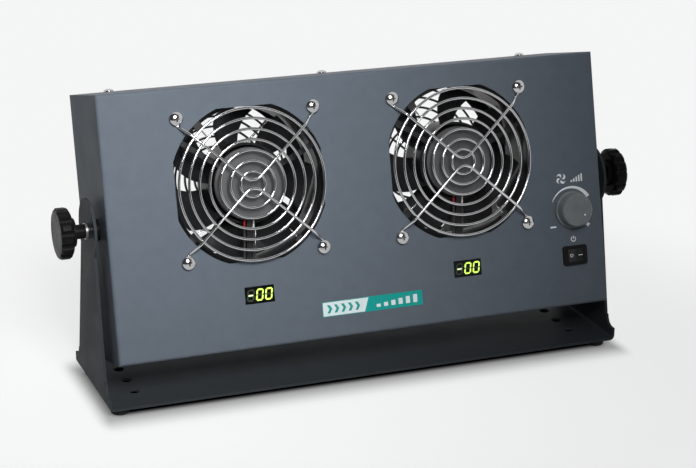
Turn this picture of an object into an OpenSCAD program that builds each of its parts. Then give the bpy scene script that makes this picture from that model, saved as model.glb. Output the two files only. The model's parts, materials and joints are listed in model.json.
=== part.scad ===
// Benchtop ionizing air blower: two guarded fans in a folded sheet case that tilts in a U bracket.
// Millimetres. X runs to the right, Y away from the outlet side, Z up from the bench.
// The origin lies on the bench under the pivot axis, midway between the two arms.
// Parts of the case are drawn in the case's own upright frame: y = 0 on the front face,
// z = 0 on the case bottom. in_case() then leans them back about the pivot axis.

/* [Case] */
// Width of the case
case_w = 396; // [388:1:480]
// Height of the case
case_h = 196; // [192:1:250]
// Depth of the case
case_d = 80; // [76:1:120]
// Thickness of the case sheet
case_t = 1.2; // [1:0.1:1.6]
// Outside radius of the folded front edges
fold_r = 2.4; // [2:0.1:4]
// Lean of the case at rest, in degrees from upright
lean = 13.9; // [0:0.1:40]
// Distance of the pivot axis behind the front face
pivot_y = 29; // [26:0.5:40]

/* [Rear cover] */
// Thickness of the rear cover sheet
cover_t = 1.2; // [1:0.1:1.6]
// Length of the folded flanges of the rear cover
flange_l = 16; // [14:0.5:22]
// Clearance between the rear cover and the shell
cover_fit = 0.2; // [0.1:0.05:0.5]
// Distance of the cover screws ahead of the rear edge
cover_screw_in = 8; // [7:0.5:10]
// Distance of the outer cover screws from the middle
cover_screw_x = 170; // [150:1:180]

/* [Bracket] */
// Gap between the case side and a bracket arm
arm_gap = 6.25; // [5:0.25:12]
// Thickness of the bracket sheet
bracket_t = 2; // [1.5:0.25:3]
// Outside radius of the bends between arms and base
bracket_bend_r = 4; // [3.5:0.5:8]
// Depth of the bracket base
base_d = 100; // [96:1:150]
// Height of the full-depth step at the foot of an arm
arm_step_h = 10; // [8:0.5:14]
// Radius of the fillet between the step and the arm's edge
arm_fillet_r = 8; // [4:0.5:12]
// Half width of an arm where it leaves its step
arm_foot_half = 39; // [32:0.5:44]
// Radius of the rounded arm top about the pivot
arm_top_r = 24; // [20:0.5:30]
// Gap between the swinging case corner and the base
swing_gap = 10.8; // [4:0.1:30]
// Radius of the bench screw holes in the base
bench_hole_r = 4; // [2.5:0.1:5]
// Distance of the bench screw holes from the middle
bench_hole_x = 180; // [150:1:184]
// Spacing of the three bench screw holes in a row
bench_hole_pitch = 22; // [14:1:26]

/* [Feet] */
// Height of a rubber foot
foot_h = 6; // [3:0.5:10]
// Radius of a rubber foot
foot_r = 7.5; // [5:0.5:9]
// Distance of a foot's centre from the arm's outer face
foot_inset = 11; // [10:0.5:14]
// Distance of a foot's centre from the front or rear edge of the base
foot_edge = 12; // [10:0.5:16]

/* [Tilt hardware] */
// Radius of the tilt knob over its lobes
knob_r = 19; // [16:0.5:24]
// Thickness of the lobed head
knob_head_t = 10; // [8:0.5:16]
// Number of lobes
knob_lobes = 12; // [6:1:14]
// Radius of the flutes between the lobes
knob_flute_r = 3; // [2:0.25:4]
// Radius of the boss behind the head
knob_boss_r = 10.5; // [9:0.5:12]
// Thickness of the boss
knob_boss_t = 3; // [2:0.5:6]
// Radius of the knob's stem
knob_stem_r = 5.3; // [4.8:0.1:7]
// Length of the knob's stem
knob_stem_l = 7.7; // [4:0.1:12]
// Radius of the tilt stud
stud_r = 3; // [2.5:0.1:4.4]
// Running clearance around the stud
stud_fit = 0.08; // [0.03:0.01:0.1]
// Thickness of the tilt washer
washer_t = 1.6; // [1:0.1:2.5]
// Radius of the tilt washer
washer_r = 6; // [5.5:0.5:10]
// Radius of the spacer between case and arm
spacer_r = 8; // [7:0.5:14]
// Thickness of the flange nut inside the case
pivot_nut_t = 6; // [5:0.5:12]
// Width across the flats of the flange nut
pivot_nut_af = 10; // [10:0.5:17]

/* [Fans] */
// Side of a fan frame
fan_size = 120; // [118:0.5:124]
// Depth of a fan
fan_depth = 38; // [32:1:40]
// Distance between the two fan axes
fan_spacing = 168; // [160:1:172]
// Offset of the fan pair from the middle of the case
fan_shift = -4.25; // [-6:0.25:0]
// Distance of the fan frames below the case top
fan_top_gap = 14.2; // [10:0.2:18]
// Distance of the fan's screw holes from the sides of its frame
fan_hole_in = 7.6; // [7:0.1:8.5]
// Radius of the fan's screw holes
fan_hole_r = 2.2; // [2.1:0.05:2.5]
// Edge of the frame left outside the bore of the air duct
duct_edge = 3.4; // [3.2:0.1:5]
// Wall of the air duct
duct_wall = 2.6; // [1.5:0.1:2.8]
// Thickness of a fan flange
fan_flange_t = 4; // [3.6:0.2:6]
// Depth of the flare at each end of the duct
flare_d = 6; // [4:0.5:10]
// Reach of the arcs of the air openings past the half width of the fan
opening_over = 0.6; // [-1:0.1:2]
// Sheet left between the flats of the air openings and the fan's sides
opening_edge = 3.2; // [2:0.1:5]
// Number of struts that carry the motor
strut_count = 3; // [3:1:5]
// Direction of the strut with the leads, counter-clockwise from the right
strut_angle = 265; // [260:1:275]
// Width of a strut
strut_w = 4; // [3:0.25:5]
// Radius of the motor base
motor_r = 27; // [24:0.5:28.5]
// Radius of the shaft
shaft_r = 1.5; // [1.5:0.1:2]
// Outside radius of a shaft bearing
bearing_r = 4; // [3.5:0.1:5]
// Thickness of a shaft bearing
bearing_t = 4; // [3:0.5:5]

/* [Rotors] */
// Outside radius of the rotor hub
hub_r = 30; // [29:0.5:32]
// Wall of the rotor hub
hub_wall = 1.8; // [1.4:0.1:2.4]
// Number of blades
blade_count = 7; // [5:1:9]
// Gap between blade tips and duct
tip_gap = 1.3; // [0.8:0.1:3]
// Depth of a blade along the axis, at the hub
blade_depth_hub = 25; // [20:1:27]
// Depth of a blade along the axis, at the tip
blade_depth_tip = 22; // [16:1:26]
// Run of a blade around the axis, at the hub
blade_run_hub = 20; // [14:1:22]
// Run of a blade around the axis, at the tip
blade_run_tip = 37; // [26:1:38]
// Forward sweep of the blade tips in degrees
blade_sweep = 12; // [0:1:20]
// Greatest thickness of a blade
blade_t = 2.2; // [1.6:0.1:3]
// Curve of the blade section, as a share of its chord
blade_camber = 0.09; // [0:0.01:0.12]

/* [Guards] */
// Number of guard rings
guard_rings = 7; // [5:1:7]
// Radius of the innermost ring
guard_inner_r = 9.4; // [8:0.2:12]
// Distance of the outermost ring inside the fan's sides
guard_edge = 4.1; // [3.8:0.1:14.6]
// Radius of the guard wire
guard_wire_r = 1.05; // [0.8:0.05:1.2]
// Distance of the ring wires' centres from the sheet
guard_stand = 6.4; // [4:0.2:10]
// Bend radius in the middle of a leg wire
guard_bend_r = 8; // [6:0.5:12]
// Radius of a guard screw's head
guard_head_r = 4.9; // [4.6:0.1:5.5]

/* [Emitters] */
// Direction of the first emitter, counter-clockwise from the right
emitter_angle = 38; // [36:1:42]
// Reach of the needle tips in from the duct wall
needle_reach = 10.6; // [6.6:0.2:14.6]
// Radius of a needle
needle_r = 0.6; // [0.4:0.05:0.8]
// Width of an emitter holder
holder_w = 6; // [5:0.5:8]
// Thickness of an emitter holder
holder_t = 3; // [2.6:0.1:3.2]
// Radius of the high-voltage leads
hv_lead_r = 1.1; // [0.8:0.1:1.4]

/* [Front controls] */
// Width of a display window
display_w = 22.8; // [18:0.1:30]
// Height of a display window
display_h = 12.8; // [10:0.1:16]
// Distance of the display centres below the fans
display_drop = 22.1; // [15.8:0.1:27.8]
// Distance of the controls from the right end of the case
control_in = 26.7; // [25:0.1:30]
// Height of the speed knob above the case bottom
dial_z = 75; // [70:0.5:84]
// Width of the speed knob's skirt beyond its face
dial_skirt = 2; // [1.8:0.1:5.5]
// Radius of the speed knob's face
dial_face_r = 12.5; // [10:0.25:12.8]
// Height of the speed knob
dial_h = 11.5; // [10:0.5:20]
// Radius of the potentiometer's shaft
dial_shaft_r = 3; // [2.5:0.1:3.2]
// Height of the power switch above the case bottom
switch_z = 39.3; // [32:0.1:46]
// Width of the power switch's bezel
switch_w = 20.4; // [19:0.1:26]
// Height of the power switch's bezel
switch_h = 15.2; // [14:0.1:18]
// Tilt of the rocker at either end of its travel, in degrees
rocker_tilt = 10; // [6:1:12]
// Width of the label
label_w = 81; // [40:1:110]
// Height of the label
label_h = 11.3; // [8:0.1:14]
// Height of the label's centre above the case bottom
label_z = 22.1; // [14:0.1:24]

/* [Rear panel] */
// Distance of the power inlet from the right end of the case
inlet_in = 30; // [26:0.5:34]
// Height of the power inlet above the case bottom
inlet_z = 60; // [36:1:100]
// Distance of the ground post above the power inlet
ground_up = 42; // [38:1:60]

/* [Inside] */
// Gap between the control board and the high-voltage supply
board_gap = 15.55; // [12.55:1:30.55]
// Depth of the control board
board_d = 38; // [30:1:40]
// Height of the board's standoffs
standoff_h = 6; // [4:0.5:10]
// Width of the high-voltage supply
supply_w = 56; // [40:1:60]
// Depth of the high-voltage supply
supply_d = 36; // [28:1:40]
// Gap between the high-voltage supply and the fans above it
supply_gap = 12.5; // [10.5:0.5:30.5]

/* [Hidden] */
$fn = 48;
cut = 1;                    // overshoot of a cutting tool past the face it cuts
slip = 0.05;                // clearance of a part seated in its own hole
seat = 0.1;                 // gap between two seated flat faces

pivot_z = case_h / 2;
corner_swing = norm([max(pivot_y, case_d - pivot_y), pivot_z]);
base_top = foot_h + bracket_t;
pivot_h = base_top + corner_swing + swing_gap;
bracket_w = case_w + 2 * (arm_gap + bracket_t);

fan_z = case_h - fan_top_gap - fan_size / 2;
under_fans = fan_z - fan_size / 2;
fan_hole_d = fan_size / 2 - fan_hole_in;
duct_r = fan_size / 2 - duct_edge;
opening_r = fan_size / 2 + opening_over;
opening_flat = fan_size / 2 - opening_edge;
guard_pitch = (fan_size / 2 - guard_edge - guard_inner_r) / (guard_rings - 1);
needle_tip_r = duct_r - needle_reach;
display_z = under_fans - display_drop;
dial_skirt_r = dial_face_r + dial_skirt;
supply_h = under_fans - case_t - seat - supply_gap;
screw_r = 2;
tip_r = duct_r - tip_gap;
motor_t = 3;
strut_t = fan_flange_t - 0.6;
strut_root = 0.5;           // overlap of a strut and the motor base, short of the label
rotor_front = 6;            // depth of the rotor's open rim behind the fan's front face
rotor_back = fan_depth - 4; // depth of the rotor's closed end
blade_mid = (rotor_front + rotor_back) / 2 + 1;
nut_af = 7;
nut_t = 3.2;
lead_r = 0.7;
sleeve_r = 1.2;
lead_off = strut_w / 2 + sleeve_r + 0.3;
lead_depth = 2;
control_x = case_w / 2 - control_in;
inlet_x = case_w / 2 - inlet_in;
board_x = fan_shift;
board_y = 18;
board_z = case_t + standoff_h;
board_t = 1.6;
supply_x = -case_w / 2 + case_t + 6 + supply_w / 2;
board_w = 2 * (board_x - supply_x - supply_w / 2 - board_gap);
supply_y = 22;
bushing_r = dial_shaft_r + 1.6;
bushing_l = 4.4;
switch_body_w = switch_w - 2.5;
switch_body_h = switch_h - 2.3;
bezel_t = 2;
inlet_body_w = 20.4;
inlet_body_h = 27.8;
inlet_pitch = 40;
inlet_screw_r = 1.5;
ground_r = 2;

// ---- Frames ----

// From the case's upright frame to the leaned-back case in its bracket
module in_case() {
    translate([0, 0, pivot_h]) rotate([-lean, 0, 0]) translate([0, -pivot_y, -pivot_z]) children();
}

// On the front face: local x to the right, y up, z out of the face
module on_front(x, z, out = 0) {
    translate([x, -out, z]) rotate([90, 0, 0]) children();
}

// On the rear face: local x to the right as seen from behind, y up, z out of the face
module on_rear(x, z, out = 0) {
    translate([x, case_d + out, z]) rotate([90, 0, 180]) children();
}

// On an arm's outer face at the pivot: local z points away from the case
module on_arm(side, out = 0) {
    translate([side * (bracket_w / 2 + out), 0, pivot_h]) rotate([0, side * 90, 0]) children();
}

// At a fan: local z = 0 on the fan's front face, z out of the case
function fan_x(side) = fan_shift + side * fan_spacing / 2;
module at_fan(side) {
    on_front(fan_x(side), fan_z, -case_t - seat) children();
}

module at_fan_holes() {
    for (x = [-1, 1], y = [-1, 1]) translate([x * fan_hole_d, y * fan_hole_d, 0]) children();
}

module at_cover_screws(z) {
    for (x = [-1, 0, 1]) translate([x * cover_screw_x, case_d - cover_screw_in, z]) children();
}

// ---- Shared shapes ----

module rounded_rect(w, h, r) {
    square([w - 2 * r, h], center = true);
    square([w, h - 2 * r], center = true);
    for (x = [-1, 1], y = [-1, 1]) translate([x * (w / 2 - r), y * (h / 2 - r)]) circle(r);
}

// Round bar between two points
module rod(p, q, r) {
    v = q - p;
    translate(p) rotate([0, acos(v[2] / norm(v)), atan2(v[1], v[0])]) cylinder(r = r, h = norm(v));
}

// Round wire through a list of points
module wire(points, r) {
    for (i = [1:len(points) - 1]) rod(points[i - 1], points[i], r);
    for (i = [1:len(points) - 2]) translate(points[i]) sphere(r);
}

function unit(v) = v / norm(v);

// Round wire swept along a bent path that never runs straight up
module swept_wire(path, r, sides = 8) {
    last = len(path) - 1;
    skin = [for (k = [0:last])
        let (ahead = unit(path[min(k + 1, last)] - path[max(k - 1, 0)]),
             across = unit(cross([0, 0, 1], ahead)),
             up = cross(ahead, across))
        for (s = [0:sides - 1])
            path[k] + r * (cos(360 * s / sides) * across + sin(360 * s / sides) * up)];
    sleeve = [for (k = [0:last - 1]) for (s = [0:sides - 1])
        let (a = k * sides + s, b = k * sides + (s + 1) % sides)
        for (tri = [[a, a + sides, b + sides], [a, b + sides, b]]) tri];
    ends = [[for (s = [0:sides - 1]) s], [for (s = [sides - 1:-1:0]) last * sides + s]];
    polyhedron(skin, concat(sleeve, ends));
}

// Domed screw head with a cross recess: z = 0 under the head
module pan_head(r, h) {
    rise = 0.6 * h;
    dome = (r * r + rise * rise) / (2 * rise);
    difference() {
        intersection() {
            cylinder(r = r, h = h);
            translate([0, 0, h - dome]) sphere(dome, $fn = 96);
        }
        for (a = [0, 90]) {
            rotate(a) translate([-0.55 * r, -0.12 * r, 0.45 * h]) cube([1.1 * r, 0.24 * r, h]);
        }
    }
}

// Screw: head above z = 0, shank below
module pan_screw(r, length, head_r, head_h) {
    pan_head(head_r, head_h);
    translate([0, 0, -length]) cylinder(r = r, h = length + 0.2 * head_h);
}

module hex_nut(af, t, bore_r) {
    difference() {
        cylinder(r = af / 2 / cos(30), h = t, $fn = 6);
        translate([0, 0, -cut]) cylinder(r = bore_r, h = t + 2 * cut);
    }
}

// Air opening: a circle with four flats
module air_opening(h) {
    intersection() {
        cylinder(r = opening_r, h = h, $fn = 96);
        translate([-opening_flat, -opening_flat, 0]) cube([2 * opening_flat, 2 * opening_flat, h]);
    }
}

// ---- Bracket ----

// U section of the bracket, in X and Z
module bracket_section(top) {
    r = bracket_bend_r;
    difference() {
        union() {
            translate([-bracket_w / 2, foot_h + r]) square([bracket_w, top - foot_h - r]);
            translate([-bracket_w / 2 + r, foot_h]) square([bracket_w - 2 * r, r]);
            for (x = [-1, 1]) translate([x * (bracket_w / 2 - r), foot_h + r]) circle(r);
        }
        translate([-bracket_w / 2 + bracket_t, foot_h + r]) square([bracket_w - 2 * bracket_t, top]);
        translate([-bracket_w / 2 + r, base_top]) square([bracket_w - 2 * r, top]);
        for (x = [-1, 1]) translate([x * (bracket_w / 2 - r), foot_h + r]) circle(r - bracket_t);
    }
}

// Outline of an arm, in Y and Z: a step, two fillets and a taper to the rounded top
module arm_outline() {
    foot_z = foot_h + arm_step_h;
    rise = pivot_h - foot_z;
    reach = norm([arm_foot_half, rise]);
    tangent = atan2(rise, arm_foot_half) - 90 + acos(arm_top_r / reach);
    half_top = arm_top_r * cos(tangent);
    z_top = pivot_h + arm_top_r * sin(tangent);
    f = arm_fillet_r;
    translate([-base_d / 2, foot_h]) square([base_d, arm_step_h]);
    translate([0, pivot_h]) circle(arm_top_r);
    polygon([
        [-arm_foot_half, foot_z - 0.5], [arm_foot_half, foot_z - 0.5], [arm_foot_half, foot_z],
        [half_top, z_top], [-half_top, z_top], [-arm_foot_half, foot_z]
    ]);
    for (s = [-1, 1]) {
        difference() {
            translate([s > 0 ? arm_foot_half - 4 : -arm_foot_half - f, foot_z - 0.5])
                square([f + 4, f + 0.5]);
            translate([s * (arm_foot_half + f), foot_z + f]) circle(f);
        }
    }
}

module bracket() {
    color("#3c4046") difference() {
        intersection() {
            translate([0, base_d / 2, 0]) rotate([90, 0, 0])
                linear_extrude(base_d) bracket_section(pivot_h + arm_top_r);
            translate([-bracket_w / 2 - cut, 0, 0]) rotate([90, 0, 90])
                linear_extrude(bracket_w + 2 * cut) arm_outline();
        }
        for (x = [-1, 1], i = [-1:1]) {
            translate([x * bench_hole_x, i * bench_hole_pitch, foot_h - cut])
                cylinder(r = bench_hole_r, h = bracket_t + 2 * cut);
        }
        for (s = [-1, 1]) on_arm(s, -bracket_t - cut)
            cylinder(r = stud_r + stud_fit, h = bracket_t + 2 * cut);
    }
}

module rubber_feet() {
    color("#151617") for (x = [-1, 1], y = [-1, 1]) {
        translate([x * (bracket_w / 2 - foot_inset), y * (base_d / 2 - foot_edge), 0]) rotate_extrude()
            polygon([[0, 0], [foot_r - 1.4, 0], [foot_r - 0.6, 0.8], [foot_r, foot_h], [0, foot_h]]);
    }
}

// ---- Case sheet metal ----

// Rectangle with its two front corners rounded, front edge on y = 0, centred in x
module fronted_rect(w, d, r) {
    translate([-w / 2, r]) square([w, d - r]);
    translate([-w / 2 + r, 0]) square([w - 2 * r, d]);
    for (x = [-1, 1]) translate([x * (w / 2 - r), r]) circle(r);
}

// Block with the four front edges rounded, set in by the given amount on five sides
module case_block(inset, back) {
    r = fold_r - inset;
    h = case_h - 2 * inset;
    d = case_d - inset + back;
    intersection() {
        translate([0, inset, inset]) linear_extrude(h) fronted_rect(case_w - 2 * inset, d, r);
        translate([-case_w / 2 + inset, inset, pivot_z]) rotate([90, 0, 90]) rotate(-90)
            linear_extrude(case_w - 2 * inset) fronted_rect(h, d, r);
    }
}

module front_shell() {
    color("#656b73") in_case() difference() {
        case_block(0, 0);
        case_block(case_t, cut);
        for (s = [-1, 1]) {
            on_front(fan_x(s), fan_z, -case_t - cut) {
                air_opening(case_t + 2 * cut);
                at_fan_holes() cylinder(r = screw_r + 0.2, h = case_t + 2 * cut);
            }
            on_front(fan_x(s), display_z, -case_t - cut)
                translate([-display_w / 2, -display_h / 2, 0])
                    cube([display_w, display_h, case_t + 2 * cut]);
            translate([s * case_w / 2, pivot_y, pivot_z]) rotate([0, 90, 0])
                cylinder(r = stud_r + 0.5, h = 4 * case_t, center = true);
        }
        on_front(control_x, dial_z, -case_t - cut) cylinder(r = bushing_r + 0.2, h = case_t + 2 * cut);
        on_front(control_x, switch_z, -case_t - cut)
            translate([-switch_body_w / 2 - seat, -switch_body_h / 2 - seat, 0])
                cube([switch_body_w + 2 * seat, switch_body_h + 2 * seat, case_t + 2 * cut]);
        at_cover_screws(-cut) cylinder(r = screw_r + 0.2, h = case_t + 2 * cut);
        at_cover_screws(case_h - case_t - cut) cylinder(r = screw_r + 0.2, h = case_t + 2 * cut);
    }
}

cover_gap = case_t + cover_fit;

// Side view of the rear cover: a plate with two forward flanges
module cover_section() {
    h = case_h - 2 * cover_gap;
    r = fold_r;
    rotate(180) difference() {
        fronted_rect(h, flange_l, r);
        translate([0, cover_t]) fronted_rect(h - 2 * cover_t, flange_l, r - cover_t);
    }
}

module rear_cover() {
    w = case_w - 2 * cover_gap;
    color("#4a4f55") in_case() difference() {
        translate([-w / 2, case_d, pivot_z]) rotate([90, 0, 90]) rotate(-90)
            linear_extrude(w) cover_section();
        for (s = [-1, 1]) on_rear(fan_x(s), fan_z, -cover_t - cut) {
            air_opening(cover_t + 2 * cut);
            at_fan_holes() cylinder(r = screw_r + 0.2, h = cover_t + 2 * cut);
        }
        on_rear(inlet_x, inlet_z, -cover_t - cut) {
            translate([-inlet_body_w / 2 - seat, -inlet_body_h / 2 - seat, 0])
                cube([inlet_body_w + 2 * seat, inlet_body_h + 2 * seat, cover_t + 2 * cut]);
            for (y = [-1, 1]) translate([0, y * inlet_pitch / 2, 0])
                cylinder(r = inlet_screw_r + 0.2, h = cover_t + 2 * cut);
        }
        on_rear(inlet_x, inlet_z + ground_up, -cover_t - cut)
            cylinder(r = ground_r + 0.1, h = cover_t + 2 * cut);
        at_cover_screws(cover_gap - cut) cylinder(r = screw_r + 0.2, h = cover_t + 2 * cut);
        at_cover_screws(case_h - cover_gap - cover_t - cut)
            cylinder(r = screw_r + 0.2, h = cover_t + 2 * cut);
    }
}

cover_screw_l = cover_gap + cover_t + nut_t + 0.8;

module top_cover_screws() {
    color("#2b2d30") in_case() at_cover_screws(case_h + slip) pan_screw(screw_r, cover_screw_l, 3.8, 2.4);
}

module bottom_cover_screws() {
    color("#2b2d30") in_case() at_cover_screws(-slip) rotate([180, 0, 0])
        pan_screw(screw_r, cover_screw_l, 3.8, 2.4);
}

module cover_nuts() {
    inner = cover_gap + cover_t + slip;
    color("silver") in_case() {
        at_cover_screws(inner) hex_nut(nut_af, nut_t, screw_r + slip);
        at_cover_screws(case_h - inner - nut_t) hex_nut(nut_af, nut_t, screw_r + slip);
    }
}

// ---- Tilt hardware ----

module on_case_side(s, x) {
    in_case() translate([s * x, pivot_y, pivot_z]) rotate([0, s * 90, 0]) children();
}

module pivot_nuts() {
    color("silver") for (s = [-1, 1]) {
        on_case_side(s, case_w / 2 - case_t - slip - pivot_nut_t) {
            hex_nut(pivot_nut_af, pivot_nut_t, stud_r + slip);
            translate([0, 0, pivot_nut_t - 1.6]) difference() {
                cylinder(r = pivot_nut_af / 2 / cos(30) + 1.5, h = 1.6);
                translate([0, 0, -cut]) cylinder(r = stud_r + slip, h = 2 * cut + 1.6);
            }
        }
    }
}

module pivot_spacers() {
    color("#202224") for (s = [-1, 1]) {
        on_case_side(s, case_w / 2 + slip) difference() {
            cylinder(r = spacer_r, h = arm_gap - slip - 0.2);
            translate([0, 0, -cut]) cylinder(r = stud_r + 0.3, h = arm_gap + 2 * cut);
        }
    }
}

knob_base = washer_t + 2 * seat;
knob_head_z = knob_base + knob_stem_l + knob_boss_t;

module tilt_knob(side) {
    r = knob_r;
    color("#1b1c1d") on_arm(side, knob_base) difference() {
        union() {
            cylinder(r = knob_stem_r, h = knob_stem_l + cut);
            translate([0, 0, knob_stem_l]) cylinder(r = knob_boss_r, h = knob_boss_t + cut);
            translate([0, 0, knob_stem_l + knob_boss_t]) intersection() {
                rotate_extrude() polygon([
                    [0, 0], [r - 3, 0], [r - 0.8, 1.2], [r, 2.6], [r, knob_head_t - 1.6],
                    [r - 1.4, knob_head_t - 0.2], [r - 2.4, knob_head_t], [0, knob_head_t]
                ]);
                difference() {
                    cylinder(r = r + cut, h = knob_head_t);
                    for (i = [0:knob_lobes - 1]) rotate((i + 0.5) * 360 / knob_lobes)
                        translate([r + 0.25 * knob_flute_r, 0, -cut])
                            cylinder(r = knob_flute_r, h = knob_head_t + 2 * cut);
                }
            }
        }
        translate([0, 0, -cut])
            cylinder(r = stud_r + slip, h = cut + knob_stem_l + knob_boss_t + knob_head_t / 2 + slip);
    }
}

module tilt_stud(side) {
    inward = bracket_t + arm_gap + case_t + pivot_nut_t + 3;
    outward = knob_head_z + knob_head_t / 2;
    color("silver") on_arm(side, -inward) difference() {
        cylinder(r = stud_r, h = inward + outward);
        difference() {
            translate([0, 0, -cut]) cylinder(r = stud_r + cut, h = cut + 0.8);
            translate([0, 0, -cut]) cylinder(r1 = stud_r - 0.8 - cut, r2 = stud_r, h = cut + 0.8);
        }
    }
}

module tilt_washer(side) {
    color("silver") on_arm(side, seat) difference() {
        cylinder(r = washer_r, h = washer_t);
        translate([0, 0, -cut]) cylinder(r = stud_r + 0.2, h = washer_t + 2 * cut);
    }
}

// ---- Wire guards ----

weld_gap = 0.02;            // between a leg wire and the rings that it is welded across
eye_gap = 0.4;              // between an eye and the screw in it
guard_eye_step = 30;
guard_flat = sqrt(pow(guard_head_r, 2) - pow(screw_r + eye_gap, 2)) + 0.3; // lies under the head
guard_leg_z = guard_stand + 2 * guard_wire_r + weld_gap;
guard_knee_r = guard_inner_r + (guard_rings - 1) * guard_pitch + 3;
guard_loop_r = screw_r + eye_gap + guard_wire_r;

function flip_x(list) = [for (k = [len(list) - 1:-1:0]) [-list[k][0], list[k][1], list[k][2]]];

// One bent wire: an eye round a screw, up the slope of a leg, round the V and down to the other eye
module guard_leg() {
    w = guard_wire_r;
    corner = norm([fan_hole_d, fan_hole_d]);
    skew = asin(guard_loop_r / corner);
    reach = corner * cos(skew);
    along = 45 - skew;
    turn_r = guard_bend_r / tan(along);
    turn_y = guard_bend_r / sin(along);
    leg = [for (a = [-300:guard_eye_step:0])
               [reach - guard_loop_r * sin(a), guard_loop_r * (1 - cos(a)), w],
           [reach - guard_flat, 0, w], [guard_knee_r, 0, guard_leg_z]];
    half = [for (q = leg)
        [q[0] * cos(along) - q[1] * sin(along), q[0] * sin(along) + q[1] * cos(along), q[2]]];
    arc = [for (k = [3:-1:-3]) let (a = along * k / 3)
               [turn_r * sin(a), turn_y - turn_r * cos(a), guard_leg_z]];
    swept_wire(concat(half, arc, flip_x(half)), w);
}

module wire_guard() {
    for (i = [0:guard_rings - 1]) translate([0, 0, guard_stand])
        rotate_extrude($fn = 96) translate([guard_inner_r + i * guard_pitch, 0]) circle(guard_wire_r);
    for (a = [0, 180]) rotate(a) guard_leg();
}

module front_guard(side) {
    color("#d8dadc") in_case() on_front(fan_x(side), fan_z, slip) wire_guard();
}

module rear_guard(side) {
    color("#d8dadc") in_case() on_rear(fan_x(side), fan_z, slip) wire_guard();
}

guard_screw_z = slip + 2 * guard_wire_r + slip;

module front_guard_screws() {
    color("#dfe1e3") in_case() for (s = [-1, 1]) {
        on_front(fan_x(s), fan_z, guard_screw_z) at_fan_holes()
            pan_screw(screw_r, guard_screw_z + case_t + seat + fan_flange_t + nut_t + 1, guard_head_r, 3);
    }
}

module rear_guard_screws() {
    color("#dfe1e3") in_case() for (s = [-1, 1]) {
        on_rear(fan_x(s), fan_z, guard_screw_z) at_fan_holes()
            pan_screw(screw_r, guard_screw_z + cover_t + nut_t + 1, guard_head_r, 3);
    }
}

module fan_nuts() {
    color("silver") in_case() for (s = [-1, 1]) {
        at_fan(s) at_fan_holes() translate([0, 0, -fan_flange_t - slip - nut_t])
            hex_nut(nut_af, nut_t, screw_r + slip);
    }
}

module rear_guard_nuts() {
    color("silver") in_case() for (s = [-1, 1]) {
        on_rear(fan_x(s), fan_z, -cover_t - slip - nut_t) at_fan_holes()
            hex_nut(nut_af, nut_t, screw_r + slip);
    }
}

// ---- Fans ----

bus_ring_r = duct_r + duct_wall + 0.2 + hv_lead_r;
bus_depth = fan_flange_t + 3;
bus_under = 5.6;            // depth of the bus lead's level run below the fans
tail_r = 0.8;
tail_at = bus_ring_r + hv_lead_r + tail_r + seat;
holder_in = duct_r - 1.7;
holder_out = tail_at + tail_r + 1;

module at_emitters() {
    for (i = [0:3]) rotate(emitter_angle + 90 * i) children();
}

// A point beside the lead strut: distance from the axis, offset to its side, depth
function beside(r, off, depth) = [
    r * cos(strut_angle) - off * sin(strut_angle), r * sin(strut_angle) + off * cos(strut_angle), -depth
];

// Flare at one end of the duct, clipped by the four flats
module duct_flare() {
    intersection() {
        translate([0, 0, -flare_d])
            cylinder(r1 = duct_r, r2 = opening_r + 0.01, h = flare_d + 0.01, $fn = 96);
        translate([-opening_flat, -opening_flat, -flare_d])
            cube([2 * opening_flat, 2 * opening_flat, flare_d + cut]);
    }
}

module fan_body() {
    difference() {
        union() {
            for (z = [-fan_flange_t, -fan_depth]) translate([0, 0, z])
                linear_extrude(fan_flange_t) rounded_rect(fan_size, fan_size, 5);
            intersection() {
                translate([0, 0, -fan_depth]) cylinder(r = duct_r + duct_wall, h = fan_depth, $fn = 96);
                translate([-fan_size / 2, -fan_size / 2, -fan_depth]) cube([fan_size, fan_size, fan_depth]);
            }
        }
        translate([0, 0, -fan_depth - cut]) cylinder(r = duct_r, h = fan_depth + 2 * cut, $fn = 96);
        duct_flare();
        translate([0, 0, -fan_depth]) rotate([180, 0, 0]) duct_flare();
        translate([0, 0, -fan_depth - cut]) at_fan_holes()
            cylinder(r = fan_hole_r, h = fan_depth + 2 * cut);
        at_emitters() {
            translate([duct_r - 3, -holder_w / 2 - seat, -holder_t - seat])
                cube([holder_out + seat - duct_r + 3, holder_w + 2 * seat, holder_t + seat + cut]);
            translate([tail_at, 0, -fan_flange_t - cut])
                cylinder(r = tail_r + 0.2, h = fan_flange_t + 2 * cut);
        }
        for (s = [-1, 1]) {
            p = beside(duct_r - 3, s * lead_off, 0);
            floor = lead_depth + sleeve_r + 0.3;
            translate([p[0], p[1], -floor]) rotate(strut_angle)
                translate([0, -sleeve_r - 0.2, 0]) cube([fan_size, 2 * sleeve_r + 0.4, floor + cut]);
        }
    }
}

bearing_tube_r = bearing_r + 1.8;
bearing_tube_l = 22;

module motor_base() {
    difference() {
        union() {
            translate([0, 0, -motor_t - 0.8]) cylinder(r = motor_r, h = motor_t);
            translate([0, 0, -bearing_tube_l]) cylinder(r = bearing_tube_r, h = bearing_tube_l - 1);
            for (i = [0:strut_count - 1]) rotate(strut_angle + i * 360 / strut_count)
                translate([motor_r - strut_root, -strut_w / 2, -strut_t - 0.4])
                    cube([fan_size / 2 - 0.2 - motor_r + strut_root, strut_w, strut_t]);
        }
        translate([0, 0, -bearing_tube_l - cut])
            cylinder(r = bearing_r + slip, h = bearing_tube_l - 2 + cut);
    }
}

module fan_frame(side) {
    color("#1c1d1f") in_case() at_fan(side) {
        fan_body();
        motor_base();
    }
}

module motor_label(side) {
    color("#55585b") in_case() at_fan(side) translate([0, 0, -0.75]) cylinder(r = motor_r - 0.6, h = 0.4);
}

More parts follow.
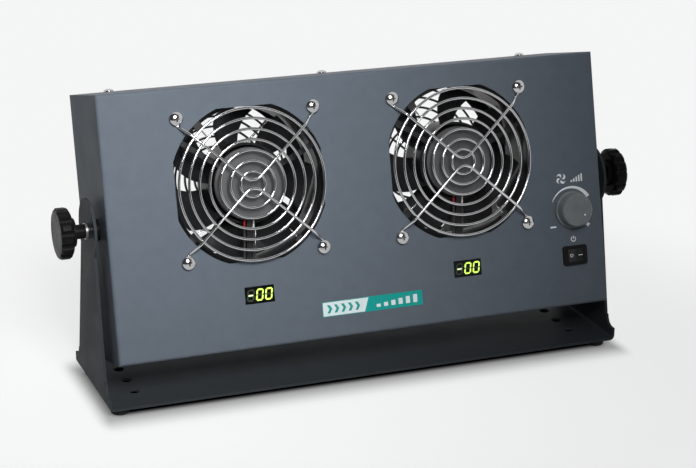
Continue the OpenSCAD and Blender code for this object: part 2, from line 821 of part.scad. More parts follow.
// Wound core: a bored drum with six slots
module fan_stator(side) {
    r = hub_r - hub_wall - 3;
    color("#8a5a33") in_case() at_fan(side) translate([0, 0, -bearing_tube_l + 1]) difference() {
        cylinder(r = r, h = 12);
        translate([0, 0, -cut]) cylinder(r = bearing_tube_r + slip, h = 12 + 2 * cut);
        for (i = [0:5]) rotate(i * 60)
            translate([bearing_tube_r + 4, -1.5, -cut]) cube([r, 3, 12 + 2 * cut]);
    }
}

module shaft_bearings(side) {
    color("#c9ccd0") in_case() at_fan(side) for (z = [-bearing_t - 2.2, -bearing_tube_l + 0.5]) {
        translate([0, 0, z]) difference() {
            cylinder(r = bearing_r, h = bearing_t);
            translate([0, 0, -cut]) cylinder(r = shaft_r + slip, h = bearing_t + 2 * cut);
        }
    }
}

module rotor_shaft(side) {
    color("silver") in_case() at_fan(side) translate([0, 0, -rotor_back + 1 + slip])
        cylinder(r = shaft_r, h = rotor_back - 1 - slip - 2.6);
}

// ---- Rotor blades: curved sections on cylinders around the axis, lofted from hub to tip ----

blade_stations = 6;
blade_steps = 8;
rotor_angles = [0.5, 37];   // where the left and the right rotor stand at rest
rotor_boss_l = 4;

function mix(a, b, t) = a + (b - a) * t;
function blade_share(i) = i / (blade_stations - 1);
function section_half_t(s) = 0.5 * blade_t * (0.3 + 0.7 * sqrt(max(0, 1 - 4 * s * s)));

// One point of a blade: station i outwards, place s along the chord, side +1 or -1 of the section
function blade_point(i, s, side) =
    let (
        t = blade_share(i),
        r = mix(hub_r - 0.9, tip_r, t),
        run = mix(blade_run_hub, blade_run_tip, t),
        deep = mix(blade_depth_hub, blade_depth_tip, t),
        chord = norm([run, deep]),
        off = side * section_half_t(s) * mix(1, 0.7, t) - blade_camber * chord * (1 - 4 * s * s),
        around = run * s - off * deep / chord,
        along = deep * s + off * run / chord,
        a = around / r * 180 / PI - blade_sweep * t * t
    )
    [r * cos(a), r * sin(a), along - blade_mid];

module blade() {
    n = 2 * blade_steps;
    section = [for (j = [0:n - 1])
        j < blade_steps ? [j / (blade_steps - 1) - 0.5, 1] : [(n - 1 - j) / (blade_steps - 1) - 0.5, -1]];
    points = [for (i = [0:blade_stations - 1], p = section) blade_point(i, p[0], p[1])];
    walls = [
        for (i = [0:blade_stations - 2], j = [0:n - 1], k = [0, 1])
            let (a = i * n + j, b = i * n + (j + 1) % n)
            k == 0 ? [a, b, b + n] : [a, b + n, a + n]
    ];
    last = (blade_stations - 1) * n;
    ends = [
        for (j = [0:blade_steps - 2], k = [0, 1], e = [0, last])
            let (a = e + j, b = e + j + 1, c = e + n - 2 - j, d = e + n - 1 - j)
            e == 0 ? (k == 0 ? [a, c, b] : [a, d, c]) : (k == 0 ? [a, b, c] : [a, c, d])
    ];
    polyhedron(points, concat(walls, ends));
}

module rotor_hub() {
    difference() {
        union() {
            difference() {
                translate([0, 0, -rotor_back]) cylinder(r = hub_r, h = rotor_back - rotor_front, $fn = 96);
                translate([0, 0, -rotor_back + 2.5])
                    cylinder(r = hub_r - hub_wall, h = rotor_back, $fn = 96);
            }
            translate([0, 0, -rotor_back + 1]) cylinder(r = shaft_r + 2.5, h = rotor_boss_l);
        }
        translate([0, 0, -rotor_back + 1]) cylinder(r = shaft_r + 0.02, h = rotor_boss_l + cut);
    }
}

module fan_rotor(side) {
    turn = rotor_angles[side > 0 ? 1 : 0];
    color("#26282a") in_case() at_fan(side) {
        rotor_hub();
        for (i = [0:blade_count - 1]) rotate(turn + i * 360 / blade_count) blade();
    }
}

// ---- Leads and emitters ----

// From a depth in the case and a height above its bottom to the frame of a fan
function in_fan(x, y, z) = [x, z - fan_z, case_t + seat - y];

lead_start = motor_r + 0.1;
lead_end = motor_r + 6.4;
connector_y = board_y + 6;
connector_h = 9;
connector_top = board_z + board_t + connector_h;

module lead(side, off) {
    in_case() at_fan(side)
        rod(beside(lead_start, off, lead_depth), beside(lead_end, off, lead_depth), lead_r);
}

module red_leads() {
    color("#a5202a") for (s = [-1, 1]) lead(s, -lead_off);
}

module pale_leads() {
    color("#d6d2c6") for (s = [-1, 1]) lead(s, lead_off);
}

// Sleeved stretch of a fan lead: along the strut, out of the frame, back and down to the board
module lead_sleeve(side, off) {
    exit = beside(fan_size / 2 + 3.4, off, lead_depth);
    back = in_fan(exit[0], connector_y, exit[1] + fan_z);
    down = in_fan(exit[0], connector_y, connector_top + slip);
    in_case() at_fan(side) wire([beside(lead_end + slip, off, lead_depth), exit, back, down], sleeve_r);
}

module lead_sleeves() {
    color("#141516") for (s = [-1, 1], t = [-1, 1]) lead_sleeve(s, t * lead_off);
}

module emitter_holders() {
    color("#202122") in_case() for (s = [-1, 1]) at_fan(s) at_emitters() difference() {
        translate([holder_in, -holder_w / 2, -holder_t]) cube([holder_out - holder_in, holder_w, holder_t]);
        translate([holder_in - cut, 0, -holder_t / 2]) rotate([0, 90, 0])
            cylinder(r = needle_r + 0.02, h = 6 + cut);
        translate([tail_at, 0, -holder_t - cut]) cylinder(r = tail_r + 0.02, h = holder_t / 2 + cut);
    }
}

// Needles with ground points, and the tail that joins each holder to its bus
module emitter_needles() {
    point_l = 3;
    color("#cfd2d6") in_case() for (s = [-1, 1]) at_fan(s) at_emitters() {
        translate([needle_tip_r + point_l, 0, -holder_t / 2]) rotate([0, 90, 0])
            cylinder(r = needle_r, h = holder_in + 5.9 - needle_tip_r - point_l);
        translate([needle_tip_r, 0, -holder_t / 2]) rotate([0, 90, 0])
            cylinder(r1 = 0.05, r2 = needle_r, h = point_l);
        translate([tail_at, 0, -bus_depth]) cylinder(r = tail_r, h = bus_depth - holder_t / 2 - slip);
    }
}

module emitter_bus() {
    drop = 8;
    run_z = under_fans - bus_under;
    color("#6b1f22") in_case() for (s = [-1, 1]) at_fan(s) {
        top = supply_h + case_t + seat + slip;
        x0 = supply_x + 14 + 4 * s - fan_x(s);
        y0 = supply_y + 26 + 3 * s;
        y1 = case_t + seat + bus_depth;
        translate([0, 0, -bus_depth]) rotate_extrude($fn = 96) translate([bus_ring_r, 0]) circle(hv_lead_r);
        wire([
            in_fan(x0, y0, top), in_fan(x0, y0, run_z), in_fan(drop, y0, run_z), in_fan(drop, y1, run_z),
            [drop, -sqrt(bus_ring_r * bus_ring_r - drop * drop), -bus_depth]
        ], hv_lead_r);
    }
}

// ---- Front controls ----

display_depth = 9;
display_board_w = 54;
display_board_h = 22;
socket_w = 16;
socket_h = 6;
socket_t = 5;

module display(side) {
    w = display_w - 2 * seat;
    h = display_h - 2 * seat;
    color("#0c0d0e") in_case() on_front(fan_x(side), display_z, -display_depth)
        translate([-w / 2, -h / 2, 0]) cube([w, h, display_depth + 0.4]);
}

module display_boards() {
    board_top = -display_depth - slip - board_t;
    color("#1f5a3a") in_case() for (s = [-1, 1]) on_front(fan_x(s), display_z, board_top) {
        translate([-display_board_w / 2, -display_board_h / 2, 0])
            cube([display_board_w, display_board_h, board_t]);
        translate([-socket_w / 2, -socket_h / 2, -socket_t]) cube([socket_w, socket_h, socket_t + slip]);
    }
}

module display_posts() {
    post_l = display_depth - case_t - 2 * slip;
    color("silver") in_case() for (s = [-1, 1], x = [-1, 1]) {
        on_front(fan_x(s) + x * (display_board_w / 2 - 4), display_z, -display_depth)
            cylinder(r = 2.5, h = post_l);
    }
}

module label_plate() {
    color("#13a08f") in_case() on_front(0, label_z, slip)
        linear_extrude(0.3) rounded_rect(label_w, label_h, 0.6);
}

dial_gap = 0.8;
dial_mark_angle = -35;
dial_skirt_t = 2.2;
dial_hollow_r = 9.2;
nut_pocket = bushing_l + 1;

module speed_knob() {
    side_r = dial_face_r + 0.8;
    z1 = dial_gap + dial_skirt_t;
    color("#5c6466") in_case() on_front(control_x, dial_z) difference() {
        rotate_extrude() polygon([
            [0, dial_gap], [dial_skirt_r, dial_gap], [dial_skirt_r, z1 - 0.6], [dial_skirt_r - 0.6, z1],
            [side_r + 0.3, z1], [side_r, z1 + 0.4],
            [dial_face_r + 0.1, dial_h - 0.9], [dial_face_r - 0.7, dial_h],
            [0, dial_h]
        ]);
        translate([0, 0, dial_gap - cut]) cylinder(r = dial_hollow_r, h = nut_pocket - dial_gap + cut);
        cylinder(r = dial_shaft_r + 0.02, h = dial_h - 1.5);
        rotate(dial_mark_angle) translate([dial_face_r - 3.4, 0, dial_h - 0.4]) cylinder(r = 1, h = 1);
    }
}

module speed_shaft() {
    color("silver") in_case() on_front(control_x, dial_z, -case_t - 8)
        cylinder(r = dial_shaft_r, h = case_t + 6.4 + dial_h);
}

module speed_control() {
    body_l = 9.5;
    color("#3a5f8a") in_case() on_front(control_x, dial_z, -case_t - seat - body_l) difference() {
        union() {
            cylinder(r = dial_shaft_r + 5.5, h = body_l);
            cylinder(r = bushing_r, h = body_l + seat + case_t + bushing_l);
            for (x = [-1:1]) translate([5 * x - 0.6, -dial_shaft_r - 10, 2]) cube([1.2, 9, 0.8]);
        }
        translate([0, 0, 1]) cylinder(r = dial_shaft_r + 0.06, h = body_l + case_t + bushing_l + cut);
    }
}

module speed_nut() {
    color("silver") in_case() on_front(control_x, dial_z, slip)
        hex_nut(2 * bushing_r + 4, 2, bushing_r + slip);
}

rocker_axis_out = 0.3;
rocker_half = (switch_w - 7.2) / 2;
rocker_half_h = (switch_h - 5.3) / 2;
rocker_window = 0.2;
rocker_pin_r = 1;

module switch_housing() {
    depth = 14;
    color("#17181a") in_case() on_front(control_x, switch_z) difference() {
        union() {
            translate([0, 0, slip]) linear_extrude(bezel_t) rounded_rect(switch_w, switch_h, 2);
            translate([-switch_body_w / 2, -switch_body_h / 2, -depth])
                cube([switch_body_w, switch_body_h, depth + 0.5]);
        }
        pit = [rocker_half + rocker_window, rocker_half_h + rocker_window];
        translate([-pit[0], -pit[1], rocker_axis_out - rocker_half - 1.2])
            cube([2 * pit[0], 2 * pit[1], rocker_half + 10]);
        translate([0, 0, rocker_axis_out]) rotate([90, 0, 0])
            cylinder(r = rocker_pin_r + 0.06, h = 2 * rocker_half_h + 1.4, center = true);
    }
}

// Rocker seen from its end: a round body cut by two shallow slopes, turned about its pin
module switch_rocker() {
    color("#202225") in_case() on_front(control_x, switch_z, rocker_axis_out) rotate([0, -rocker_tilt, 0]) {
        rotate([90, 0, 0]) translate([0, 0, -rocker_half_h])
            linear_extrude(2 * rocker_half_h) intersection() {
            circle(rocker_half);
            polygon([[-8, 3.3], [0, 1.9], [8, 3.3], [8, -5], [-8, -5]]);
        }
        rotate([90, 0, 0]) cylinder(r = rocker_pin_r, h = 2 * rocker_half_h + 1.2, center = true);
    }
}

module switch_terminals() {
    color("silver") in_case() for (x = [-1:1]) on_front(control_x + 6 * x, switch_z, -14 - slip)
        translate([-0.4, -2.4, -8]) cube([0.8, 4.8, 8]);
}

// ---- Inside ----

transformer = [32, 26, 22]; // size of the board's transformer
transformer_in = 6;         // from the board's front edge to the transformer
capacitor_r = 5;
capacitor_h = 18;
capacitor_pitch = 15;
capacitor_at = [26, 26];    // first capacitor, from the board's middle and front edge
driver = [14, 8, 2.6];      // size of each fan's driver
driver_at = [58, 18];

module control_board() {
    color("#1f6a3c") in_case() {
        translate([board_x - board_w / 2, board_y, board_z + slip]) cube([board_w, board_d, board_t]);
        translate([0, 0, board_z + board_t]) {
            for (s = [-1, 1]) translate([fan_x(s) - 12, connector_y - 4, 0]) cube([16, 8, connector_h]);
            translate([board_x - 22, board_y + transformer_in, 0]) cube(transformer);
            for (i = [0:2])
                translate([board_x + capacitor_at[0] + capacitor_pitch * i, board_y + capacitor_at[1], 0])
                    cylinder(r = capacitor_r, h = capacitor_h);
            for (i = [-1, 1])
                translate([board_x + driver_at[0] * i, board_y + driver_at[1], 0]) cube(driver);
        }
    }
}

module board_standoffs() {
    color("silver") in_case() for (x = [-1, 1], y = [4, board_d - 4]) {
        translate([board_x + x * (board_w / 2 - 5), board_y + y, case_t + slip])
            cylinder(r = 3, h = standoff_h - slip);
    }
}

module high_voltage_supply() {
    color("#26292c") in_case() translate([supply_x - supply_w / 2, supply_y, case_t + seat]) difference() {
        cube([supply_w, supply_d, supply_h]);
        for (x = [0, supply_w]) translate([x, -cut, supply_h]) rotate([0, 45, 0])
            translate([-2, 0, -2]) cube([4, supply_d + 2 * cut, 4]);
    }
}

// ---- Rear panel ----

inlet_flange_t = 2.5;
inlet_flange_w = 24;
inlet_flange_end = 10;
inlet_cavity_w = 17;
inlet_cavity_h = 24.4;
inlet_cavity_d = 16.5;
inlet_depth = 24;

// Places of the three blades: live and neutral in one row, earth beside them
inlet_blades = [[-2, 7], [-2, -7], [2, 0]];

module inlet_cavity() {
    w = inlet_cavity_w / 2;
    h = inlet_cavity_h / 2;
    polygon([[-w, -h], [w - 4, -h], [w, -h + 4], [w, h - 4], [w - 4, h], [-w, h]]);
}

module power_inlet() {
    color("#151617") in_case() on_rear(inlet_x, inlet_z, slip) difference() {
        union() {
            linear_extrude(inlet_flange_t) rounded_rect(inlet_flange_w, inlet_pitch + inlet_flange_end, 4);
            translate([-inlet_body_w / 2, -inlet_body_h / 2, -inlet_depth])
                cube([inlet_body_w, inlet_body_h, inlet_depth + 0.5]);
        }
        translate([0, 0, inlet_flange_t - inlet_cavity_d])
            linear_extrude(inlet_cavity_d + cut) inlet_cavity();
        for (b = inlet_blades) translate([b[0] - 2 - slip, b[1] - 1 - slip, -inlet_depth - cut])
            cube([4 + 2 * slip, 2 + 2 * slip, inlet_depth]);
        for (y = [-1, 1]) translate([0, y * inlet_pitch / 2, -cut])
            cylinder(r = inlet_screw_r + 0.2, h = inlet_flange_t + 2 * cut);
    }
}

module inlet_pins() {
    color("silver") in_case() on_rear(inlet_x, inlet_z) for (b = inlet_blades)
        translate([b[0] - 2, b[1] - 1, -inlet_depth - 8]) cube([4, 2, inlet_depth + 6]);
}

module inlet_screws() {
    color("silver") in_case() for (y = [-1, 1]) on_rear(inlet_x, inlet_z + y * inlet_pitch / 2) {
        translate([0, 0, inlet_flange_t + 2 * slip])
            pan_screw(inlet_screw_r, inlet_flange_t + cover_t + 4, 2.8, 2);
        translate([0, 0, -cover_t - slip - 2.4]) hex_nut(5.5, 2.4, inlet_screw_r + slip);
    }
}

// Earth post: a threaded stud with a collar, a washer, a knurled nut and a nut inside
module ground_post() {
    color("#b8a060") in_case() on_rear(inlet_x, inlet_z + ground_up) {
        translate([0, 0, -cover_t - 7]) cylinder(r = ground_r, h = cover_t + 19);
        translate([0, 0, slip]) cylinder(r = 5, h = 1.5);
        translate([0, 0, 2.4]) difference() {
            cylinder(r = 4.6, h = 5);
            translate([0, 0, -cut]) cylinder(r = ground_r + slip, h = 5 + 2 * cut);
            for (i = [0:17]) rotate(i * 20) translate([4.75, 0, -cut]) cylinder(r = 0.4, h = 5 + 2 * cut);
        }
        translate([0, 0, -cover_t - slip - nut_t]) hex_nut(nut_af, nut_t, ground_r + slip);
    }
}

// ---- Assembly ----

bracket();
rubber_feet();
front_shell();
rear_cover();
top_cover_screws();
bottom_cover_screws();
cover_nuts();
pivot_nuts();
pivot_spacers();
tilt_knob(-1);  // tilt_knob_left
tilt_knob(1);  // tilt_knob_right
tilt_stud(-1);  // tilt_stud_left
tilt_stud(1);  // tilt_stud_right
tilt_washer(-1);  // tilt_washer_left
tilt_washer(1);  // tilt_washer_right
front_guard(-1);  // front_guard_left
front_guard(1);  // front_guard_right
rear_guard(-1);  // rear_guard_left
rear_guard(1);  // rear_guard_right
front_guard_screws();
rear_guard_screws();
fan_nuts();
rear_guard_nuts();
fan_frame(-1);  // fan_frame_left
fan_frame(1);  // fan_frame_right
motor_label(-1);  // motor_label_left
motor_label(1);  // motor_label_right
fan_stator(-1);  // fan_stator_left
fan_stator(1);  // fan_stator_right
shaft_bearings(-1);  // shaft_bearings_left
shaft_bearings(1);  // shaft_bearings_right
fan_rotor(-1);  // fan_rotor_left
fan_rotor(1);  // fan_rotor_right
rotor_shaft(-1);  // rotor_shaft_left
rotor_shaft(1);  // rotor_shaft_right
red_leads();
pale_leads();
lead_sleeves();
emitter_holders();
emitter_needles();
emitter_bus();
display(-1);  // display_left
display(1);  // display_right
display_boards();
display_posts();
label_plate();
speed_knob();
speed_shaft();
speed_control();
speed_nut();
switch_housing();
switch_rocker();
switch_terminals();
control_board();
board_standoffs();
high_voltage_supply();
power_inlet();
inlet_pins();
inlet_screws();
ground_post();
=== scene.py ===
import json
import math

import bmesh
import bpy
from bpy.props import FloatProperty, FloatVectorProperty, IntProperty, PointerProperty
from bpy.types import Operator, Panel, PropertyGroup
from mathutils import Matrix, Vector
from mathutils.bvhtree import BVHTree


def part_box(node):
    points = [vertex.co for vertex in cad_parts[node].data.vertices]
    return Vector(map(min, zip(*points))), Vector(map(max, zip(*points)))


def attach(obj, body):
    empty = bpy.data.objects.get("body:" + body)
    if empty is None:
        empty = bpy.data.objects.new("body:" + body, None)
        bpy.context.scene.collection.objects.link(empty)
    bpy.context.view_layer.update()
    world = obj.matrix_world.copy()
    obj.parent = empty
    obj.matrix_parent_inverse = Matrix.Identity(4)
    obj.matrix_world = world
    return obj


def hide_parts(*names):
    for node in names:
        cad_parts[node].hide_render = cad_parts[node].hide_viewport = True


bl_info = {
    "name": "Ionizing Blower Finish",
    "version": (1, 0, 0),
    "blender": (4, 5, 0),
    "location": "View3D > Sidebar > Blower",
    "description": "Dresses an ionizing blower: coats, plated guards, digits, prints and studio",
    "category": "Object",
}

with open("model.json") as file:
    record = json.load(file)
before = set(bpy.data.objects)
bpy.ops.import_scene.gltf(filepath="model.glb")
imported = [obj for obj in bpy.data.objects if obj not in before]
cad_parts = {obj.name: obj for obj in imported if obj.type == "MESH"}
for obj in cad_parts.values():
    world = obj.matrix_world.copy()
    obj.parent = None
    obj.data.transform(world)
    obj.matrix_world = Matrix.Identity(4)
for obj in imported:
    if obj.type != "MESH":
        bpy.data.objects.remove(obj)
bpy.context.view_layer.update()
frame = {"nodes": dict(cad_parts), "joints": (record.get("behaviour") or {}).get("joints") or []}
MM = 0.001
LIFT = 0.04 * MM  # height of a print above the surface under it, and between its layers

# ---- axes of the leaned-back case

JOINTS = {joint["name"]: joint for joint in frame["joints"]}
RIGHT = Vector((1, 0, 0))
UP = Vector(JOINTS["switch_rock"]["axis"]).normalized()
OUT = RIGHT.cross(UP)
CASE_AXES = Matrix((RIGHT, UP, OUT)).transposed()
REAR_AXES = Matrix((-RIGHT, UP, -OUT)).transposed()
TO_CASE = CASE_AXES.transposed()


def corners_of(points):
    """Lowest and highest corner of some points."""
    low = Vector(min(p[i] for p in points) for i in range(3))
    high = Vector(max(p[i] for p in points) for i in range(3))
    return low, high


def case_span(node):
    """Lowest and highest corner of a CAD node along the case's right, up and out axes."""
    return corners_of([TO_CASE @ vertex.co for vertex in frame["nodes"][node].data.vertices])


SHELL_LOW, SHELL_HIGH = case_span("front_shell")
FACE = SHELL_HIGH.z
BACK = SHELL_LOW.z
SIDES = ("left", "right")
FANS = {side: TO_CASE @ Vector(JOINTS["fan_spin_" + side]["pos_m"]) for side in SIDES}
DIAL = TO_CASE @ Vector(JOINTS["speed_turn"]["pos_m"])
SWITCH = TO_CASE @ Vector(JOINTS["switch_rock"]["pos_m"])


# ---- settings


def mm(name, description, value):
    return FloatProperty(name=name, description=description, default=value * MM, unit="LENGTH")


def degrees(name, description, value):
    return FloatProperty(
        name=name, description=description, default=math.radians(value), subtype="ANGLE"
    )


def tint(name, description, value):
    return FloatVectorProperty(
        name=name, description=description, default=value, subtype="COLOR"
    )


def amount(name, description, value):
    return FloatProperty(name=name, description=description, default=value, min=0)


class GuardSettings(PropertyGroup):
    ring_count: IntProperty(
        name="Rings", description="Number of rings in a wire guard", default=7, min=3, max=9
    )
    inner_radius: mm("Inner radius", "Radius of the innermost ring", 9.4)
    ring_pitch: mm("Ring pitch", "Radial distance between rings", 7.75)
    wire_radius: mm("Wire radius", "Radius of the guard wire", 1.05)
    stand_off: mm("Stand-off", "Height of the rings above the sheet", 6.4)
    bend_radius: mm("Bend distance", "Distance from the fan axis where a leg begins to bend", 8)
    hole_pitch: mm("Screw pitch", "Spacing of the guard screws", 104.8)
    eye_radius: mm("Eye radius", "Radius of the clear hole in an eye", 2.4)
    screw_clearance: mm("Foot length", "Length of a leg that lies flat under the head", 4.6)
    knee_reach: mm("Knee", "Distance of a leg's knee past the outermost ring", 3)
    plate_color: tint("Plating", "Colour of the plated wire", (0.55, 0.55, 0.56))


class CoatSettings(PropertyGroup):
    shell_color: tint("Shell coat", "Colour of the case's coat", (0.125, 0.148, 0.178))
    cover_color: tint("Cover coat", "Colour of the rear cover's coat", (0.105, 0.122, 0.145))
    bracket_color: tint("Bracket coat", "Colour of the bracket's coat", (0.044, 0.051, 0.057))
    grain_size: mm("Grain size", "Size of the coat's fine grain", 0.7)
    grain_depth: mm("Grain depth", "Height of the coat's fine grain", 0.02)


class DisplaySettings(PropertyGroup):
    digit_height: mm("Digit height", "Height of a display digit", 9.0)
    digit_pitch: mm("Digit pitch", "Distance between display digits", 7.0)
    slant: degrees("Slant", "Lean of the digits to the right", 8)
    lit_color: tint("Lit segment", "Colour of a lit segment", (0.62, 0.88, 0.13))
    dim_color: tint("Dark segment", "Colour of a segment that is off", (0.035, 0.045, 0.03))


class PrintSettings(PropertyGroup):
    ink_color: tint("Panel ink", "Colour of the printed marks", (0.92, 0.95, 0.98))
    label_color: tint("Label film", "Colour of the label's field", (0.0, 0.36, 0.32))
    arc_radius: mm("Speed arc", "Radius of the swelling arc round the speed knob", 17.5)


class StageSettings(PropertyGroup):
    floor_color: tint("Floor", "Colour of the floor and backdrop", (0.91, 0.915, 0.915))
    key_power: amount("Key", "Power of the key lamp in watts", 1.3)
    key_spread: degrees("Key spread", "Width of the key lamp's beam", 50)
    fill_power: amount("Fill", "Power of the fill lamp in watts", 0.3)
    rim_power: amount("Rim", "Power of the top lamp in watts", 0.9)
    sky: amount("Sky", "Strength of the even light", 0.15)


# ---- nodes and objects


def add_node(tree, kind, inputs=(), **options):
    """A new node: its options are set, and its inputs linked to sockets or set to values."""
    node = tree.nodes.new(kind)
    for option, value in options.items():
        setattr(node, option, value)
    for key, value in dict(inputs).items():
        if isinstance(value, bpy.types.NodeSocket):
            tree.links.new(value, node.inputs[key])
        else:
            node.inputs[key].default_value = value
    return node


def result(tree, kind, inputs=(), **options):
    """The first output of a new node."""
    return add_node(tree, kind, inputs, **options).outputs[0]


def corner_points(wide, high):
    """Corners of a rectangle about the middle, given its half sizes."""
    return [(-wide, -high), (wide, -high), (wide, high), (-wide, high)]


def placed(name, data):
    """A new object in the scene."""
    thing = bpy.data.objects.new(name, data)
    bpy.context.scene.collection.objects.link(thing)
    return thing


# ---- materials


def shader_of(material):
    return material.node_tree.nodes["Principled BSDF"]


def new_material(name, color, roughness, metallic=0.0, shine=0.5):
    material = bpy.data.materials.new(name)
    material.use_nodes = True
    inputs = shader_of(material).inputs
    inputs["Base Color"].default_value = (*color, 1)
    inputs["Roughness"].default_value = roughness
    inputs["Metallic"].default_value = metallic
    inputs["Specular IOR Level"].default_value = shine
    return material


def drive(material, label, value):
    """Links a socket to an input of the material's shader."""
    material.node_tree.links.new(value, shader_of(material).inputs[label])


def place_of(material):
    """Object coordinates, from the one node of a material that gives them."""
    nodes = material.node_tree.nodes
    found = next((n for n in nodes if n.bl_idname == "ShaderNodeTexCoord"), None)
    return (found or nodes.new("ShaderNodeTexCoord")).outputs["Object"]


def noise(material, size, detail=3.0, squeeze=None):
    """Noise with grains about `size` metres across, finer along the axes squeezed by over 1."""
    tree, place = material.node_tree, place_of(material)
    if squeeze:
        place = result(tree, "ShaderNodeMapping", {"Scale": squeeze, "Vector": place})
    inputs = {"Scale": 1.0 / size, "Detail": detail, "Vector": place}
    return result(tree, "ShaderNodeTexNoise", inputs)


def bump(material, height, distance, strength):
    inputs = {"Strength": strength, "Distance": distance, "Height": height}
    drive(material, "Normal", result(material.node_tree, "ShaderNodeBump", inputs))


VALUE_SPAN = (0.3, 0.7)  # between these a texture's value runs from its low to its high end


def vary_color(material, value, color, low, high):
    """Base colour that runs from `low` to `high` times the colour along VALUE_SPAN."""
    ramp = add_node(material.node_tree, "ShaderNodeValToRGB", {"Fac": value})
    for element, place, gain in zip(ramp.color_ramp.elements, VALUE_SPAN, (low, high)):
        element.position = place
        element.color = (*(min(1.0, c * gain) for c in color), 1)
    drive(material, "Base Color", ramp.outputs["Color"])


def vary_roughness(material, value, low, high):
    """Roughness that runs from `low` to `high` along VALUE_SPAN."""
    first, last = VALUE_SPAN
    inputs = {"From Min": first, "From Max": last, "To Min": low, "To Max": high, "Value": value}
    drive(material, "Roughness", result(material.node_tree, "ShaderNodeMapRange", inputs))


def coat(name, color, settings, shine=0.04):
    """Satin powder coat with fine orange-peel grain and faint mottling."""
    material = new_material(name, color, 0.4, shine=shine)
    bump(material, noise(material, settings.grain_size), settings.grain_depth, 0.6)
    vary_color(material, noise(material, 9 * MM, 2), color, 0.965, 1.035)
    vary_roughness(material, noise(material, 24 * MM, 2), 0.4, 0.48)
    return material


def metal(name, color, roughness, grain=0.35 * MM, depth=0.004 * MM):
    """Bare or plated metal with a faint grain."""
    material = new_material(name, color, roughness, 1.0)
    bump(material, noise(material, grain, 2), depth, 0.5)
    vary_roughness(material, noise(material, 5 * MM, 3), roughness * 0.8, roughness * 1.3)
    vary_color(material, noise(material, 3 * MM, 3), color, 0.93, 1.04)
    return material


def moulding(name, color, roughness, grain=0.5 * MM, depth=0.02 * MM, shine=0.3):
    """Moulded plastic or rubber with a fine grain."""
    material = new_material(name, color, roughness, shine=shine)
    bump(material, noise(material, grain, 3), depth, 0.5)
    vary_roughness(material, noise(material, 8 * MM, 2), roughness * 0.85, roughness * 1.15)
    vary_color(material, noise(material, 6 * MM, 3), color, 0.9, 1.1)
    return material


def ink(name, color, roughness=0.5):
    """Printed ink or film."""
    material = new_material(name, color, roughness)
    bump(material, noise(material, 0.3 * MM, 2), 0.004 * MM, 0.4)
    vary_color(material, noise(material, 1.2 * MM, 2), color, 0.95, 1.0)
    return material


def threaded(name, color, roughness, metallic, pattern, relief, groove_shade_gains):
    """Fine threads side by side, as in a woven sleeve or a winding, with painted shade in the
    grooves between them.
    """
    material = new_material(name, color, roughness, metallic)
    scale, distortion, direction = pattern
    inputs = {"Scale": scale, "Distortion": distortion, "Vector": place_of(material)}
    wave = add_node(material.node_tree, "ShaderNodeTexWave", inputs, bands_direction=direction)
    bump(material, wave.outputs["Fac"], *relief)
    # painted shade: the colour follows the bump's height, darker in the grooves and paler on the
    # threads' tops
    vary_color(material, wave.outputs["Fac"], color, *groove_shade_gains)
    return material


def solder_board(name):
    """Solder resist over the tracks of a circuit board."""
    material = new_material(name, (0.02, 0.11, 0.05), 0.35)
    tracks = add_node(material.node_tree, "ShaderNodeTexBrick", {
        "Scale": 160.0,
        "Mortar Size": 0.06,
        "Color1": (0.012, 0.085, 0.035, 1),
        "Color2": (0.018, 0.12, 0.05, 1),
        "Mortar": (0.03, 0.17, 0.075, 1),
        "Vector": place_of(material),
    })
    drive(material, "Base Color", tracks.outputs["Color"])
    bump(material, tracks.outputs["Fac"], 0.03 * MM, 0.6)
    return material


def glow(name, color, strength):
    """A lit segment."""
    material = new_material(name, color, 0.4)
    inputs = shader_of(material).inputs
    inputs["Emission Color"].default_value = (*color, 1)
    inputs["Emission Strength"].default_value = strength
    vary_color(material, noise(material, 2 * MM, 2), color, 0.92, 1.0)
    return material


def brushed_film(name, color):
    """Satin film with faint brush lines along the case."""
    material = new_material(name, color, 0.42, 0.35)
    bump(material, noise(material, 0.4 * MM, 2, (1, 14, 14)), 0.006 * MM, 0.5)
    vary_color(material, noise(material, 4 * MM, 3), color, 0.94, 1.06)
    vary_roughness(material, noise(material, 7 * MM, 2), 0.36, 0.48)
    return material


# ---- pieces and prints


def adopt(mesh, name, body, materials, face_materials=None, replaces=()):
    """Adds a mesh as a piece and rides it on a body."""
    for material in materials:
        mesh.materials.append(material)
    if face_materials:
        mesh.polygons.foreach_set("material_index", face_materials)
    mesh.update()
    piece = placed(name, mesh)
    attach(piece, body)
    if replaces:
        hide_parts(*replaces)


def outward(points):
    """An outline turned counter-clockwise, so that its face points out."""
    area = sum(a[0] * b[1] - b[0] * a[1] for a, b in zip(points, points[1:] + points[:1]))
    return points if area > 0 else points[::-1]


def surface_of(node):
    """The CAD node's surface in the case's axes, to lay prints on."""
    mesh = frame["nodes"][node].data
    verts = [TO_CASE @ v.co for v in mesh.vertices]
    return BVHTree.FromPolygons(verts, [tuple(p.vertices) for p in mesh.polygons])


